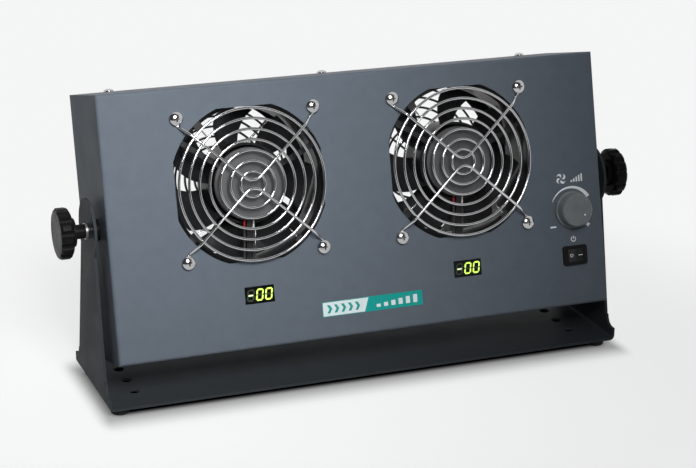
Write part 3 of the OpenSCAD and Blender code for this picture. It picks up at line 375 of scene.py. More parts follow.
class Print:
    """Flat shapes on one plane: outlines in metres, each with its ink's number and its layer."""

    CORNERS = ((-1, -1, 180), (1, -1, 270), (1, 1, 0), (-1, 1, 90))  # sides, first degree
    CORNER_STEPS = 4
    DROP = 40 * MM  # height over the face from which a print is dropped on a node

    def __init__(self, center=(0, 0), slant=0.0):
        self.verts, self.faces, self.inks = [], [], []
        self.center, self.slant = center, math.tan(slant)

    def add(self, points, ink_number=0, layer=0):
        start = len(self.verts)
        cx, cy = self.center
        for x, y in outward(list(points)):
            self.verts.append((cx + x + y * self.slant, cy + y, layer * LIFT))
        self.faces.append(list(range(start, len(self.verts))))
        self.inks.append(ink_number)

    def bar(self, x, y, w, h, ink_number=0, layer=0, r=0.0):
        """A bar about (x, y), with its corners rounded to `r`."""
        steps = range(self.CORNER_STEPS + 1 if r > 0 else 1)
        points = []
        for sx, sy, first in self.CORNERS:
            for k in steps:
                a = math.radians(first + 90 / self.CORNER_STEPS * k)
                points.append((x + sx * (w / 2 - r) + r * math.cos(a),
                               y + sy * (h / 2 - r) + r * math.sin(a)))
        self.add(points, ink_number, layer)

    def arc(self, x, y, radius, first, last, width, steps):
        """A stroke along an arc; `width` is one number or (first width, last width)."""
        w0, w1 = width if isinstance(width, tuple) else (width, width)
        for k in range(steps):
            quad = []
            for t, side in ((k, -1), (k, 1), (k + 1, 1), (k + 1, -1)):
                share = t / steps
                a = math.radians(first + (last - first) * share)
                r = radius + side * (w0 + (w1 - w0) * share) / 2
                quad.append((x + r * math.cos(a), y + r * math.sin(a)))
            self.add(quad)

    def laid(self, name, body, materials, out=0, onto=None):
        """Makes the piece at height `out`, or draped on a CAD node."""
        if onto:
            tree = surface_of(onto)
            verts = []
            for x, y, z in self.verts:
                hit = tree.ray_cast(Vector((x, y, FACE + self.DROP)), Vector((0, 0, -1)))[0]
                if hit is None:
                    raise RuntimeError(f"{name} runs past the edge of {onto}")
                verts.append((x, y, hit.z + LIFT + z))
        else:
            verts = [(x, y, out + LIFT + z) for x, y, z in self.verts]
        mesh = bpy.data.meshes.new(name)
        place = CASE_AXES.to_4x4()
        mesh.from_pydata([place @ Vector(v) for v in verts], [], self.faces)
        adopt(mesh, name, body, materials, self.inks)


# ---- geometry nodes


def node_group(name, inputs):
    """A group with further inputs (label, kind, value), and the sockets that give them."""
    group = bpy.data.node_groups.new(name, "GeometryNodeTree")
    sockets = group.interface
    sockets.new_socket("Geometry", in_out="INPUT", socket_type="NodeSocketGeometry")
    for label, kind, value in inputs:
        socket = sockets.new_socket(label, in_out="INPUT", socket_type="NodeSocket" + kind)
        socket.default_value = value
    sockets.new_socket("Geometry", in_out="OUTPUT", socket_type="NodeSocketGeometry")
    return group, group.nodes.new("NodeGroupInput").outputs


def end_group(group, geometry, material):
    """Sets the material and ends the group."""
    inputs = {"Geometry": geometry, "Material": material}
    dressed_geometry = result(group, "GeometryNodeSetMaterial", inputs)
    add_node(group, "NodeGroupOutput", {"Geometry": dressed_geometry})


def grow(seed_mesh, group, inputs):
    """Runs a node group on a seed mesh and gives back the plain mesh that it makes."""
    values = {label: value for label, _, value in inputs}
    seed = placed("seed", seed_mesh)
    modifier = seed.modifiers.new("grow", "NODES")
    modifier.node_group = group
    for item in group.interface.items_tree:
        if item.item_type == "SOCKET" and item.in_out == "INPUT" and item.name in values:
            modifier[item.identifier] = values[item.name]
    graph = bpy.context.evaluated_depsgraph_get()
    mesh = bpy.data.meshes.new_from_object(seed.evaluated_get(graph))
    mesh.materials.clear()
    bpy.data.objects.remove(seed)
    return mesh


WIRE_SIDES = 12
RING_SIDES = 128
CIRCLE = "GeometryNodeCurvePrimitiveCircle"
SWEEP = "GeometryNodeCurveToMesh"
SPREAD = "GeometryNodeInstanceOnPoints"
REALIZE = "GeometryNodeRealizeInstances"
SMOOTH = "GeometryNodeSetShadeSmooth"


def guard_group(inputs):
    """Rings on a pitch, and one leg swept along the seed's path and repeated half a turn on."""
    group, given = node_group("wire_guard", inputs)
    profile = result(group, CIRCLE, {"Resolution": WIRE_SIDES, "Radius": given["Wire Radius"]})

    points = result(group, "GeometryNodeMeshLine", {"Offset": (0, 0, 0), "Count": given["Rings"]})
    hoop = result(group, CIRCLE, {"Resolution": RING_SIDES, "Radius": 1.0})
    number = result(group, "GeometryNodeInputIndex")
    size = result(group, "ShaderNodeMath", {
        0: number, 1: given["Ring Pitch"], 2: given["Inner Radius"],
    }, operation="MULTIPLY_ADD")
    hoops = result(group, SPREAD, {"Points": points, "Instance": hoop, "Scale": size})
    hoops = result(group, REALIZE, {"Geometry": hoops})
    height = result(group, "ShaderNodeCombineXYZ", {"Z": given["Stand-off"]})
    hoops = result(group, "GeometryNodeSetPosition", {"Geometry": hoops, "Offset": height})
    rings = result(group, SWEEP, {"Curve": hoops, "Profile Curve": profile})

    path = result(group, "GeometryNodeMeshToCurve", {"Mesh": given["Geometry"]})
    leg = result(group, SWEEP, {"Fill Caps": True, "Curve": path, "Profile Curve": profile})
    turn = (0, 0, math.pi)
    other = result(group, "GeometryNodeTransform", {"Rotation": turn, "Geometry": leg})

    join = add_node(group, "GeometryNodeJoinGeometry")
    for source in (rings, leg, other):
        group.links.new(source, join.inputs["Geometry"])
    whole = result(group, REALIZE, {"Geometry": join.outputs["Geometry"]})
    end_group(group, result(group, SMOOTH, {"Geometry": whole}), given["Plating"])
    return group


EYE_TURN = 300  # degrees of an eye that its wire goes round
EYE_STEP = 12
SLOPE_SHARES = (0.0, 0.08, 0.2, 0.5, 0.8, 0.92, 1.0)
BEND_STEPS = 6
SEAT = 1.02  # height of a foot's middle above the sheet, in wire radii
CROSSING = 1.75  # height of a leg's middle above the rings', in wire radii


def leg_path(settings):
    """One leg wire: an eye, in along the sheet, up, across, round the bend and back alike."""
    wire = settings.wire_radius
    eye = settings.eye_radius + wire
    corner = math.hypot(settings.hole_pitch / 2, settings.hole_pitch / 2)
    skew = math.asin(eye / corner)
    reach = corner * math.cos(skew)
    along = math.pi / 4 - skew
    top = settings.stand_off + CROSSING * wire
    outermost = settings.inner_radius + (settings.ring_count - 1) * settings.ring_pitch
    knee = outermost + settings.knee_reach
    leg = []
    for k in range(EYE_TURN // EYE_STEP, -1, -1):
        a = math.radians(EYE_STEP * k)
        leg.append((reach + eye * math.sin(a), eye * (1 - math.cos(a)), wire * SEAT))
    foot, low = reach - settings.screw_clearance, wire * SEAT
    for share in SLOPE_SHARES:
        ease = share * share * (3 - 2 * share)
        climb = 0.5 * share + 0.5 * ease
        leg.append((foot + (knee - foot) * share, 0, low + (top - low) * climb))
    cos, sin = math.cos(along), math.sin(along)
    half = [(x * cos - y * sin, x * sin + y * cos, z) for x, y, z in leg]
    turn = settings.bend_radius / math.tan(along)
    rise = settings.bend_radius / math.sin(along)
    bend = []
    for k in range(BEND_STEPS, -BEND_STEPS - 1, -1):
        a = along * k / BEND_STEPS
        bend.append((turn * math.sin(a), rise - turn * math.cos(a), top))
    return half + bend + [(-x, y, z) for x, y, z in reversed(half)]


# ---- cross-head screws

SCREW_SETS = {
    "front_guard_screws": CASE_AXES,
    "rear_guard_screws": REAR_AXES,
    "top_cover_screws": Matrix((RIGHT, -OUT, UP)).transposed(),
    "bottom_cover_screws": Matrix((RIGHT, OUT, -UP)).transposed(),
}
SAME_PLACE = 0.001 * MM
HEAD_EDGE = 0.97  # share of the head's radius past which a point is on its edge
END_SLICE = 0.1 * MM  # depth of the slice at a shank's end that gives its radius
SCREW_SIDES = 48
DOME_STEPS = 12
CREASE = math.radians(35)


def islands(mesh):
    """The vertices of each separate solid of a mesh, in the mesh's own order."""
    shape = bmesh.new()
    shape.from_mesh(mesh)
    bmesh.ops.remove_doubles(shape, verts=shape.verts, dist=SAME_PLACE)
    found = set()
    for start in shape.verts:
        if start in found:
            continue
        found.add(start)
        solid, edge = [], [start]
        while edge:
            vertex = edge.pop()
            solid.append(vertex.co.copy())
            for link in vertex.link_edges:
                other = link.other_vert(vertex)
                if other not in found:
                    found.add(other)
                    edge.append(other)
        yield solid
    shape.free()


def screw_places(node, axes):
    """Centre under the head, head radius, head height, shank radius and length of each screw."""
    turned = axes.transposed()
    for solid in islands(frame["nodes"][node].data):
        points = [turned @ v for v in solid]
        low, high = corners_of(points)
        center = (low + high) / 2
        spans = [(math.hypot(p.x - center.x, p.y - center.y), p.z) for p in points]
        head_r = max(r for r, z in spans)
        seat = min(z for r, z in spans if r > HEAD_EDGE * head_r)
        shank_r = max(r for r, z in spans if z < low.z + END_SLICE)
        place = Vector((center.x, center.y, seat))
        yield place, head_r, high.z - seat, shank_r, seat - low.z


def mesh_of(shape, name):
    """Ends a bmesh as a mesh with its faces in a fixed order, so that every run cuts it alike."""
    shape.verts.index_update()
    faces = sorted([vertex.index for vertex in face.verts] for face in shape.faces)
    mesh = bpy.data.meshes.new(name)
    mesh.from_pydata([vertex.co for vertex in shape.verts], [], faces)
    shape.free()
    return mesh


def screw_mesh(head_r, head_h, shank_r, length):
    """Domed head and a plain shank with a chamfered end."""
    rim = 0.4 * head_h
    rise = head_h - rim
    dome = (head_r * head_r + rise * rise) / (2 * rise)
    outline = [(0, -length), (shank_r * 0.8, -length), (shank_r, -length + 0.2 * shank_r),
               (shank_r, 0), (head_r, 0)]
    for k in range(DOME_STEPS + 1):
        r = head_r * (1 - k / DOME_STEPS)
        height = head_h - dome + math.sqrt(dome * dome - r * r)
        outline.append((r * 0.995 if k == 0 else r, height))
    shape = bmesh.new()
    chain = [shape.verts.new((r, 0, z)) for r, z in outline]
    edges = [shape.edges.new(pair) for pair in zip(chain, chain[1:])]
    bmesh.ops.spin(shape, geom=chain + edges, cent=(0, 0, 0), axis=(0, 0, 1),
                   angle=math.tau, steps=SCREW_SIDES)
    bmesh.ops.remove_doubles(shape, verts=shape.verts, dist=SAME_PLACE)
    bmesh.ops.recalc_face_normals(shape, faces=shape.faces)
    return mesh_of(shape, "screw_body")


def cross_mesh(head_r, head_h):
    """The solid that the cross recess takes out: two tapered bars."""
    floor = (0.42 * head_h, 0.24 * head_r, 0.07 * head_r)
    mouth = (1.2 * head_h, 0.62 * head_r, 0.13 * head_r)
    shape = bmesh.new()
    for turn in (0, math.pi / 2):
        cos, sin = math.cos(turn), math.sin(turn)
        low, high = (
            [shape.verts.new((x * reach * cos - y * half * sin,
                              x * reach * sin + y * half * cos, z))
             for x, y in corner_points(1, 1)]
            for z, reach, half in (floor, mouth)
        )
        shape.faces.new(low[::-1])
        shape.faces.new(high)
        for k in range(4):
            n = (k + 1) % 4
            shape.faces.new((low[k], low[n], high[n], high[k]))
    return mesh_of(shape, "cross_recess")


def screw_group(inputs):
    """One screw, its recess cut, set on each point of the seed."""
    group, given = node_group("cross_screws", inputs)
    cut = add_node(group, "GeometryNodeMeshBoolean", {"Self Intersection": True},
                   operation="DIFFERENCE", solver="EXACT")
    for label, socket in (("Screw", 0), ("Recess", 1)):
        info = add_node(group, "GeometryNodeObjectInfo", {"Object": given[label]})
        group.links.new(info.outputs["Geometry"], cut.inputs[socket])
    screw = result(group, SMOOTH, {"Geometry": cut.outputs["Mesh"]}, domain="FACE")
    screws = result(group, SPREAD, {"Points": given["Geometry"], "Instance": screw})
    end_group(group, result(group, REALIZE, {"Geometry": screws}), given["Plating"])
    return group


def sharpened(mesh):
    """Smooth faces with crisp edges where the surface turns by more than CREASE."""
    shape = bmesh.new()
    shape.from_mesh(mesh)
    for edge in shape.edges:
        edge.smooth = len(edge.link_faces) == 2 and edge.calc_face_angle(0) < CREASE
    shape.to_mesh(mesh)
    shape.free()


# ---- operators


def dressed(names, material):
    """Gives CAD nodes a material."""
    for name in names:
        mesh = frame["nodes"][name].data
        mesh.materials.clear()
        mesh.materials.append(material)


def both(*stems):
    return [f"{stem}_{side}" for stem in stems for side in SIDES]


class BLOWER_OT_coats(Operator):
    """Coat the bracket, the shell and the rear cover"""

    bl_idname = "blower.coats"
    bl_label = "Coats"

    def execute(self, context):
        coats = context.scene.blower_coats
        rubber = moulding("foot_rubber", (0.022, 0.022, 0.022), 0.75, 0.8 * MM, 0.05 * MM)
        dressed(["front_shell"], coat("shell_coat", coats.shell_color, coats))
        dressed(["rear_cover"], coat("cover_coat", coats.cover_color, coats))
        dressed(["bracket"], coat("bracket_coat", coats.bracket_color, coats, shine=0.02))
        dressed(["rubber_feet"], rubber)
        return {"FINISHED"}


class BLOWER_OT_fasteners(Operator):
    """Set the cross-head screws and plate the nuts, studs, washers and needles"""

    bl_idname = "blower.fasteners"
    bl_label = "Fasteners"

    def execute(self, context):
        bright = metal("nickel_screw", (0.5, 0.5, 0.5), 0.16)
        zinc = metal("zinc_plate", (0.5, 0.51, 0.53), 0.34, 0.6 * MM, 0.008 * MM)
        brass = metal("brass_turned", (0.62, 0.43, 0.16), 0.28, 0.3 * MM, 0.01 * MM)
        for node, axes in SCREW_SETS.items():
            self.screws(node, axes, bright)
        dressed(["inlet_screws"], bright)
        dressed(["cover_nuts", "pivot_nuts", "fan_nuts", "rear_guard_nuts", "speed_nut",
                 "board_standoffs", "display_posts", "speed_shaft"], zinc)
        dressed(both("tilt_stud", "tilt_washer", "rotor_shaft", "shaft_bearings"), zinc)
        dressed(["emitter_needles"], metal("needle_steel", (0.6, 0.6, 0.62), 0.22))
        dressed(["ground_post", "switch_terminals", "inlet_pins"], brass)
        return {"FINISHED"}

    def screws(self, node, axes, plating):
        """Replaces the screws of one node, which holds nothing else."""
        places = list(screw_places(node, axes))
        head_r, head_h, shank_r, length = places[0][1:]
        body = placed("screw_body", screw_mesh(head_r, head_h, shank_r, length))
        recess = placed("cross_recess", cross_mesh(head_r, head_h))
        inputs = [
            ("Screw", "Object", body), ("Recess", "Object", recess),
            ("Plating", "Material", plating),
        ]
        seed = bpy.data.meshes.new("screw_points")
        seed.from_pydata([place[0] for place in places], [], [])
        mesh = grow(seed, screw_group(inputs), inputs)
        for part in (body, recess):
            bpy.data.objects.remove(part)
        sharpened(mesh)
        mesh.transform(axes.to_4x4())
        adopt(mesh, node + "_crossed", "case", [plating], replaces=[node])


class BLOWER_OT_guards(Operator):
    """Bend the legs and set the rings of the four wire guards"""

    bl_idname = "blower.guards"
    bl_label = "Wire guards"

    def execute(self, context):
        settings = context.scene.blower_guards
        plating = metal("guard_plating", settings.plate_color, 0.1, 0.8 * MM, 0.002 * MM)
        inputs = [
            ("Rings", "Int", settings.ring_count),
            ("Inner Radius", "Float", settings.inner_radius),
            ("Ring Pitch", "Float", settings.ring_pitch),
            ("Wire Radius", "Float", settings.wire_radius),
            ("Stand-off", "Float", settings.stand_off),
            ("Plating", "Material", plating),
        ]
        group = guard_group(inputs)
        path = leg_path(settings)
        for face, axes, level in (("front", CASE_AXES, FACE), ("rear", REAR_AXES, BACK)):
            for side in SIDES:
                seed = bpy.data.meshes.new("leg_path")
                seed.from_pydata(path, [(k, k + 1) for k in range(len(path) - 1)], [])
                mesh = grow(seed, group, inputs)
                place = axes.to_4x4()
                place.translation = CASE_AXES @ Vector((FANS[side].x, FANS[side].y, level))
                mesh.transform(place)
                adopt(mesh, f"{face}_guard_wires_{side}", "case", [plating],
                      replaces=[f"{face}_guard_{side}"])
        return {"FINISHED"}


class BLOWER_OT_fans(Operator):
    """Finish the fan frames, rotors, motors and their leads"""

    bl_idname = "blower.fans"
    bl_label = "Fans"

    def execute(self, context):
        # the last pair of each: painted shade in the threads' grooves and paler tops, as shares of
        # the colour
        winding = threaded("wound_core", (0.42, 0.17, 0.07), 0.4, 0.8,
                           (900.0, 1.0, "X"), (0.1 * MM, 0.9), (0.5, 1.2))
        sleeve = threaded("lead_sleeve", (0.02, 0.02, 0.021), 0.6, 0.0,
                          (420.0, 0.0, "DIAGONAL"), (0.15 * MM, 0.8), (0.6, 1.6))
        dressed(both("fan_frame"), moulding("fan_plastic", (0.016, 0.0165, 0.018), 0.38))
        dressed(both("fan_rotor"), moulding("rotor_plastic", (0.02, 0.0205, 0.022), 0.32))
        dressed(both("motor_label"), brushed_film("motor_film", (0.095, 0.098, 0.102)))
        dressed(both("fan_stator"), winding)
        dressed(["red_leads"], moulding("red_insulation", (0.42, 0.012, 0.014), 0.35))
        dressed(["pale_leads"], moulding("pale_insulation", (0.62, 0.6, 0.55), 0.4))
        dressed(["lead_sleeves", "emitter_bus"], sleeve)
        dressed(["emitter_holders"], moulding("holder_plastic", (0.03, 0.03, 0.032), 0.4))
        return {"FINISHED"}


class BLOWER_OT_knobs(Operator):
    """Finish the tilt knobs, the speed knob and its mark"""

    bl_idname = "blower.knobs"
    bl_label = "Knobs"

    MARK_ANGLE = math.radians(-35)
    MARK_REACH = 6.9 * MM
    MARK_RADIUS = 0.8 * MM
    MARK_SIDES = 16

    def execute(self, context):
        prints = context.scene.blower_prints
        black = moulding("tilt_knob_plastic", (0.008, 0.008, 0.0085), 0.34,
                         0.7 * MM, 0.03 * MM, 0.05)
        dressed(both("tilt_knob") + ["pivot_spacers"], black)
        dressed(["speed_knob"], moulding("speed_knob_plastic", (0.19, 0.212, 0.222), 0.36))
        dressed(["speed_control"], moulding("control_body", (0.05, 0.05, 0.052), 0.5))
        mark = Print()
        x = DIAL.x + self.MARK_REACH * math.cos(self.MARK_ANGLE)
        y = DIAL.y + self.MARK_REACH * math.sin(self.MARK_ANGLE)
        angles = [t / self.MARK_SIDES * math.tau for t in range(self.MARK_SIDES)]
        r = self.MARK_RADIUS
        mark.add([(x + r * math.cos(a), y + r * math.sin(a)) for a in angles])
        mark.laid("speed_knob_mark", "speed_knob", [ink("knob_ink", prints.ink_color)],
                  onto="speed_knob")
        return {"FINISHED"}


class BLOWER_OT_switch(Operator):
    """Finish the power switch and mark its rocker"""

    bl_idname = "blower.switch"
    bl_label = "Power switch"

    def execute(self, context):
        prints = context.scene.blower_prints
        dressed(["switch_housing"],
                moulding("switch_plastic", (0.01, 0.01, 0.011), 0.34, shine=0.12))
        dressed(["switch_rocker"],
                moulding("rocker_plastic", (0.02, 0.021, 0.023), 0.14, shine=0.9))
        marks = Print((SWITCH.x, SWITCH.y))
        marks.arc(-3.6 * MM, 0, 1.15 * MM, 0, 360, 0.45 * MM, 28)
        marks.bar(3.4 * MM, 0, 3.0 * MM, 0.55 * MM)
        marks.laid("rocker_marks", "switch_rocker", [ink("rocker_ink", prints.ink_color)],
                   onto="switch_rocker")
        return {"FINISHED"}


class BLOWER_OT_displays(Operator):
    """Light the digits of the two displays"""

    bl_idname = "blower.displays"
    bl_label = "Displays"

    LIT, PALE, DIM = range(3)
    PLACES = ((-1, None), (0, 0), (1, 0))  # each digit's place and number, None for a minus

    def execute(self, context):
        settings = context.scene.blower_displays
        black = (0.004, 0.005, 0.005)
        window = new_material("display_window", black, 0.12)
        bump(window, noise(window, 6 * MM, 2), 0.01 * MM, 0.3)
        vary_color(window, noise(window, 5 * MM, 2), black, 0.8, 1.3)
        dressed(both("display"), window)
        inks = [
            glow("lit_segment", settings.lit_color, 0.9),
            glow("lit_minus", (0.62, 0.78, 0.42), 0.75),
            moulding("dark_segment", settings.dim_color, 0.4),
        ]
        for side in SIDES:
            low, high = case_span("display_" + side)
            digits = Print(((low.x + high.x) / 2, (low.y + high.y) / 2), settings.slant)
            for place, number in self.PLACES:
                self.digit(digits, place * settings.digit_pitch, number, settings)
            digits.laid("digits_" + side, "case", inks, high.z)
        return {"FINISHED"}

    def digit(self, sheet, x, number, settings):
        """A seven-segment nought or, for None, a minus."""
        high = settings.digit_height / 2
        wide = high * 0.5
        stroke = high * 0.27
        gap = 0.12 * MM
        tip = stroke / 2
        lit, lit_ink = ("abcdef", self.LIT) if number == 0 else ("g", self.PALE)
        half = wide - gap
        for name, y in (("a", high - tip), ("g", 0), ("d", -high + tip)):
            points = [(x - half, y), (x - half + tip, y + tip), (x + half - tip, y + tip),
                      (x + half, y), (x + half - tip, y - tip), (x - half + tip, y - tip)]
            sheet.add(points, lit_ink if name in lit else self.DIM)
        for name, side, y0, y1 in (("b", 1, 0, high - tip), ("c", 1, -high + tip, 0),
                                   ("e", -1, -high + tip, 0), ("f", -1, 0, high - tip)):
            cx = x + side * wide
            low, top = y0 + gap, y1 - gap
            points = [(cx, low), (cx + tip, low + tip), (cx + tip, top - tip),
                      (cx, top), (cx - tip, top - tip), (cx - tip, low + tip)]
            sheet.add(points, lit_ink if name in lit else self.DIM)


class BLOWER_OT_label(Operator):
    """Print the label: a pale field with arrows and a coloured field with level bars"""

    bl_idname = "blower.label"
    bl_label = "Label"

    MARGIN = 0.5 * MM
    SPLIT_LOW, SPLIT_HIGH = 0.085, 0.04  # slanted end of the pale field, shares of the width
    ARROWS, ARROW_START, ARROW_PITCH = 5, 3.2 * MM, 5.6 * MM
    ARROW_STROKE, ARROW_TIP, ARROW_HALF = 2.2 * MM, 1.8 * MM, 3.1 * MM
    BARS, BAR_START, BAR_PITCH, BAR_WIDTH = 6, 4.5 * MM, 6.0 * MM, 3.4 * MM
    BAR_FOOT, BAR_CORNER = -3.1 * MM, 0.3 * MM

    def execute(self, context):
        prints = context.scene.blower_prints
        film = ink("label_film", prints.label_color, 0.32)
        pale = ink("label_pale", (0.8, 0.9, 0.92), 0.32)
        dressed(["label_plate"], film)
        low, high = case_span("label_plate")
        width, height = high.x - low.x, high.y - low.y
        sheet = Print(((low.x + high.x) / 2, (low.y + high.y) / 2))
        left, edge = -width / 2 + self.MARGIN, height / 2 - self.MARGIN
        sheet.add([(left, -edge), (-width * self.SPLIT_LOW, -edge),
                   (-width * self.SPLIT_HIGH, edge), (left, edge)], 1)
        a, tip, r = self.ARROW_STROKE, self.ARROW_TIP, self.ARROW_HALF
        for k in range(self.ARROWS):
            x = left + self.ARROW_START + k * self.ARROW_PITCH
            sheet.add([(x, -r), (x + a, -r), (x + a + tip, 0), (x + a, r), (x, r), (x + tip, 0)],
                      0, 1)
        for k in range(self.BARS):
            h = (2.4 + 0.75 * k) * MM
            sheet.bar(self.BAR_START + k * self.BAR_PITCH, self.BAR_FOOT + h / 2,
                      self.BAR_WIDTH, h, 1, 0, self.BAR_CORNER)
        sheet.laid("label_print", "case", [film, pale], high.z)
        return {"FINISHED"}


class BLOWER_OT_prints(Operator):
    """Print the marks round the speed knob and over the switch"""

    bl_idname = "blower.prints"
    bl_label = "Panel prints"

    ARC_FROM, ARC_TO, ARC_WIDTHS = 155, 31, (0.4 * MM, 3.0 * MM)
    FAN_AT, FAN_RADIUS = (-7.3 * MM, 24.8 * MM), 4.1 * MM
    LEVELS, LEVEL_START, LEVEL_PITCH = 5, 1.6, 2.2
    LEVEL_FOOT, LEVEL_WIDTH = 21.4 * MM, 1.3 * MM
    MINUS_AT, MINUS_SIZE = (-16.6 * MM, -12.2 * MM), (5.2 * MM, 1.3 * MM)
    PLUS_AT, PLUS_SIZE = (13.4 * MM, -12.8 * MM), (3.8 * MM, 1.1 * MM)
    POWER_UP, POWER_RADIUS, POWER_STROKE = 12.7 * MM, 1.9 * MM, 0.75 * MM
    STEM_UP, STEM_LENGTH = 13.9 * MM, 2.4 * MM

    def execute(self, context):
        prints = context.scene.blower_prints
        sheet = Print()
        sheet.arc(DIAL.x, DIAL.y, prints.arc_radius, self.ARC_FROM, self.ARC_TO,
                  self.ARC_WIDTHS, 48)
        x, y = self.FAN_AT
        self.fan_sign(sheet, DIAL.x + x, DIAL.y + y, self.FAN_RADIUS)
        for k in range(self.LEVELS):
            h = (1.6 + 1.1 * k) * MM
            x = (self.LEVEL_START + self.LEVEL_PITCH * k) * MM
            sheet.bar(DIAL.x + x, DIAL.y + self.LEVEL_FOOT + h / 2, self.LEVEL_WIDTH, h)
        x, y = self.MINUS_AT
        sheet.bar(DIAL.x + x, DIAL.y + y, *self.MINUS_SIZE)
        x, y = self.PLUS_AT
        sheet.bar(DIAL.x + x, DIAL.y + y, *self.PLUS_SIZE)
        sheet.bar(DIAL.x + x, DIAL.y + y, *self.PLUS_SIZE[::-1], layer=1)
        sheet.arc(SWITCH.x, SWITCH.y + self.POWER_UP, self.POWER_RADIUS, 125, 415,
                  self.POWER_STROKE, 28)
        sheet.bar(SWITCH.x, SWITCH.y + self.STEM_UP, self.POWER_STROKE, self.STEM_LENGTH)
        sheet.laid("panel_prints", "case", [ink("panel_ink", prints.ink_color)],
                   FACE)
        return {"FINISHED"}

    def fan_sign(self, sheet, x, y, r):
        """Four curved blades round a small hub."""
        shares = [k / 8 for k in range(9)]
        for k in range(4):
            turn = math.radians(90 * k + 10)
            outline = []
            for s in shares:
                a = turn + math.radians(18 * s)
                outline.append((s * r * 0.98 + 0.12 * r, a + math.radians(40) * s * s))
            for s in shares[::-1]:
                belly = math.sin(math.pi * min(1, s * 1.05)) ** 0.7
                a = turn + math.radians(18 * s) - math.radians(34) * belly
                outline.append((s * r * 0.98 + 0.12 * r, a))
            sheet.add([(x + d * math.cos(a), y + d * math.sin(a)) for d, a in outline])


class BLOWER_OT_insides(Operator):
    """Finish the boards, the supply and the mains inlet"""

    bl_idname = "blower.insides"
    bl_label = "Insides"

    def execute(self, context):
        dressed(["control_board", "display_boards"], solder_board("solder_resist"))
        dressed(["high_voltage_supply"], moulding("potted_case", (0.03, 0.03, 0.033), 0.45))
        dressed(["power_inlet"], moulding("inlet_plastic", (0.013, 0.013, 0.014), 0.35))
        return {"FINISHED"}


# ---- studio

FLOOR_HALF = 30.0
FLOOR_LEVEL = 0.8  # brightness of the open floor, a share of its colour
FLOOR_MATTE = 0.35  # share of its colour that takes light and shadow
FLOOR_BOUNCE = 0.3  # share of its colour that lights the blower
PAINTED_SHADOW_FROM, PAINTED_SHADOW_TO = -18 * MM, 28 * MM  # past the bracket's box, from painted shadow to open floor
PAINTED_SHADOW_SIDE = 2.2  # how many times faster the painted shadow ends at the sides than in front
PAINTED_DARK_INSET = 11 * MM  # the floor is painted black this far inside the bracket's box, a painted shadow under it
PLAIN_FROM, PLAIN_TO = 0.26, 0.46  # from the middle, where the floor fades to the backdrop
CARD_WIDTH, CARD_HEIGHT, CARD_BEHIND = 5.2, 4.2, 0.1
CARD_COLOR = (0.05, 0.05, 0.052)
CAMERA_TURN = (-21.37, 18.89, 0.47)  # azimuth, elevation and roll in degrees
CAMERA_TARGET = Vector((-0.00234, 0, 0.10315))
CAMERA_DISTANCE = 1.52804
CAMERA_LENS, CAMERA_SENSOR = 103.17, 36


def studio_sheet(name, verts, material):
    """A rectangle that belongs to the stage and not to the blower."""
    mesh = bpy.data.meshes.new(name)
    mesh.from_pydata(verts, [], [(0, 1, 2, 3)])
    mesh.materials.append(material)
    return placed(name, mesh)


def studio_material(name):
    """A material with nothing but its output."""
    material = bpy.data.materials.new(name)
    material.use_nodes = True
    material.node_tree.nodes.remove(shader_of(material))
    return material


def eased(tree, value, start, end):
    """Runs smoothly from 0 to 1 as the value goes from start to end."""
    inputs = {"From Min": start, "From Max": end, "Value": value}
    return result(tree, "ShaderNodeMapRange", inputs, interpolation_type="SMOOTHSTEP")


def vector_math(tree, operation, value, other=(0, 0, 0)):
    node = add_node(tree, "ShaderNodeVectorMath", {0: value, 1: other}, operation=operation)
    return node.outputs["Value" if operation == "LENGTH" else "Vector"]


def past_box(tree, place, half):
    """How far a place lies past a box about the middle, along each axis."""
    beyond = vector_math(tree, "SUBTRACT", vector_math(tree, "ABSOLUTE", place), half)
    return vector_math(tree, "MAXIMUM", beyond)


def number_math(tree, operation, first, second, clamp=False):
    inputs = {0: first, 1: second}
    return result(tree, "ShaderNodeMath", inputs, operation=operation, use_clamp=clamp)


def emission(tree, color, strength=1.0):
    return result(tree, "ShaderNodeEmission", {"Color": (*color, 1), "Strength": strength})


def diffuse(tree, color, share):
    return result(tree, "ShaderNodeBsdfDiffuse", {"Color": (*(c * share for c in color), 1)})


def mixed(tree, share, first, second):
    return result(tree, "ShaderNodeMixShader", {"Fac": share, 1: first, 2: second})


def seen_rays(tree):
    """1 for rays from the camera, off metal or through glass, which see the plain background."""
    light = add_node(tree, "ShaderNodeLightPath").outputs
    eyes = number_math(tree, "ADD", light["Is Camera Ray"], light["Is Glossy Ray"])
    return number_math(tree, "ADD", eyes, light["Is Transmission Ray"], clamp=True)


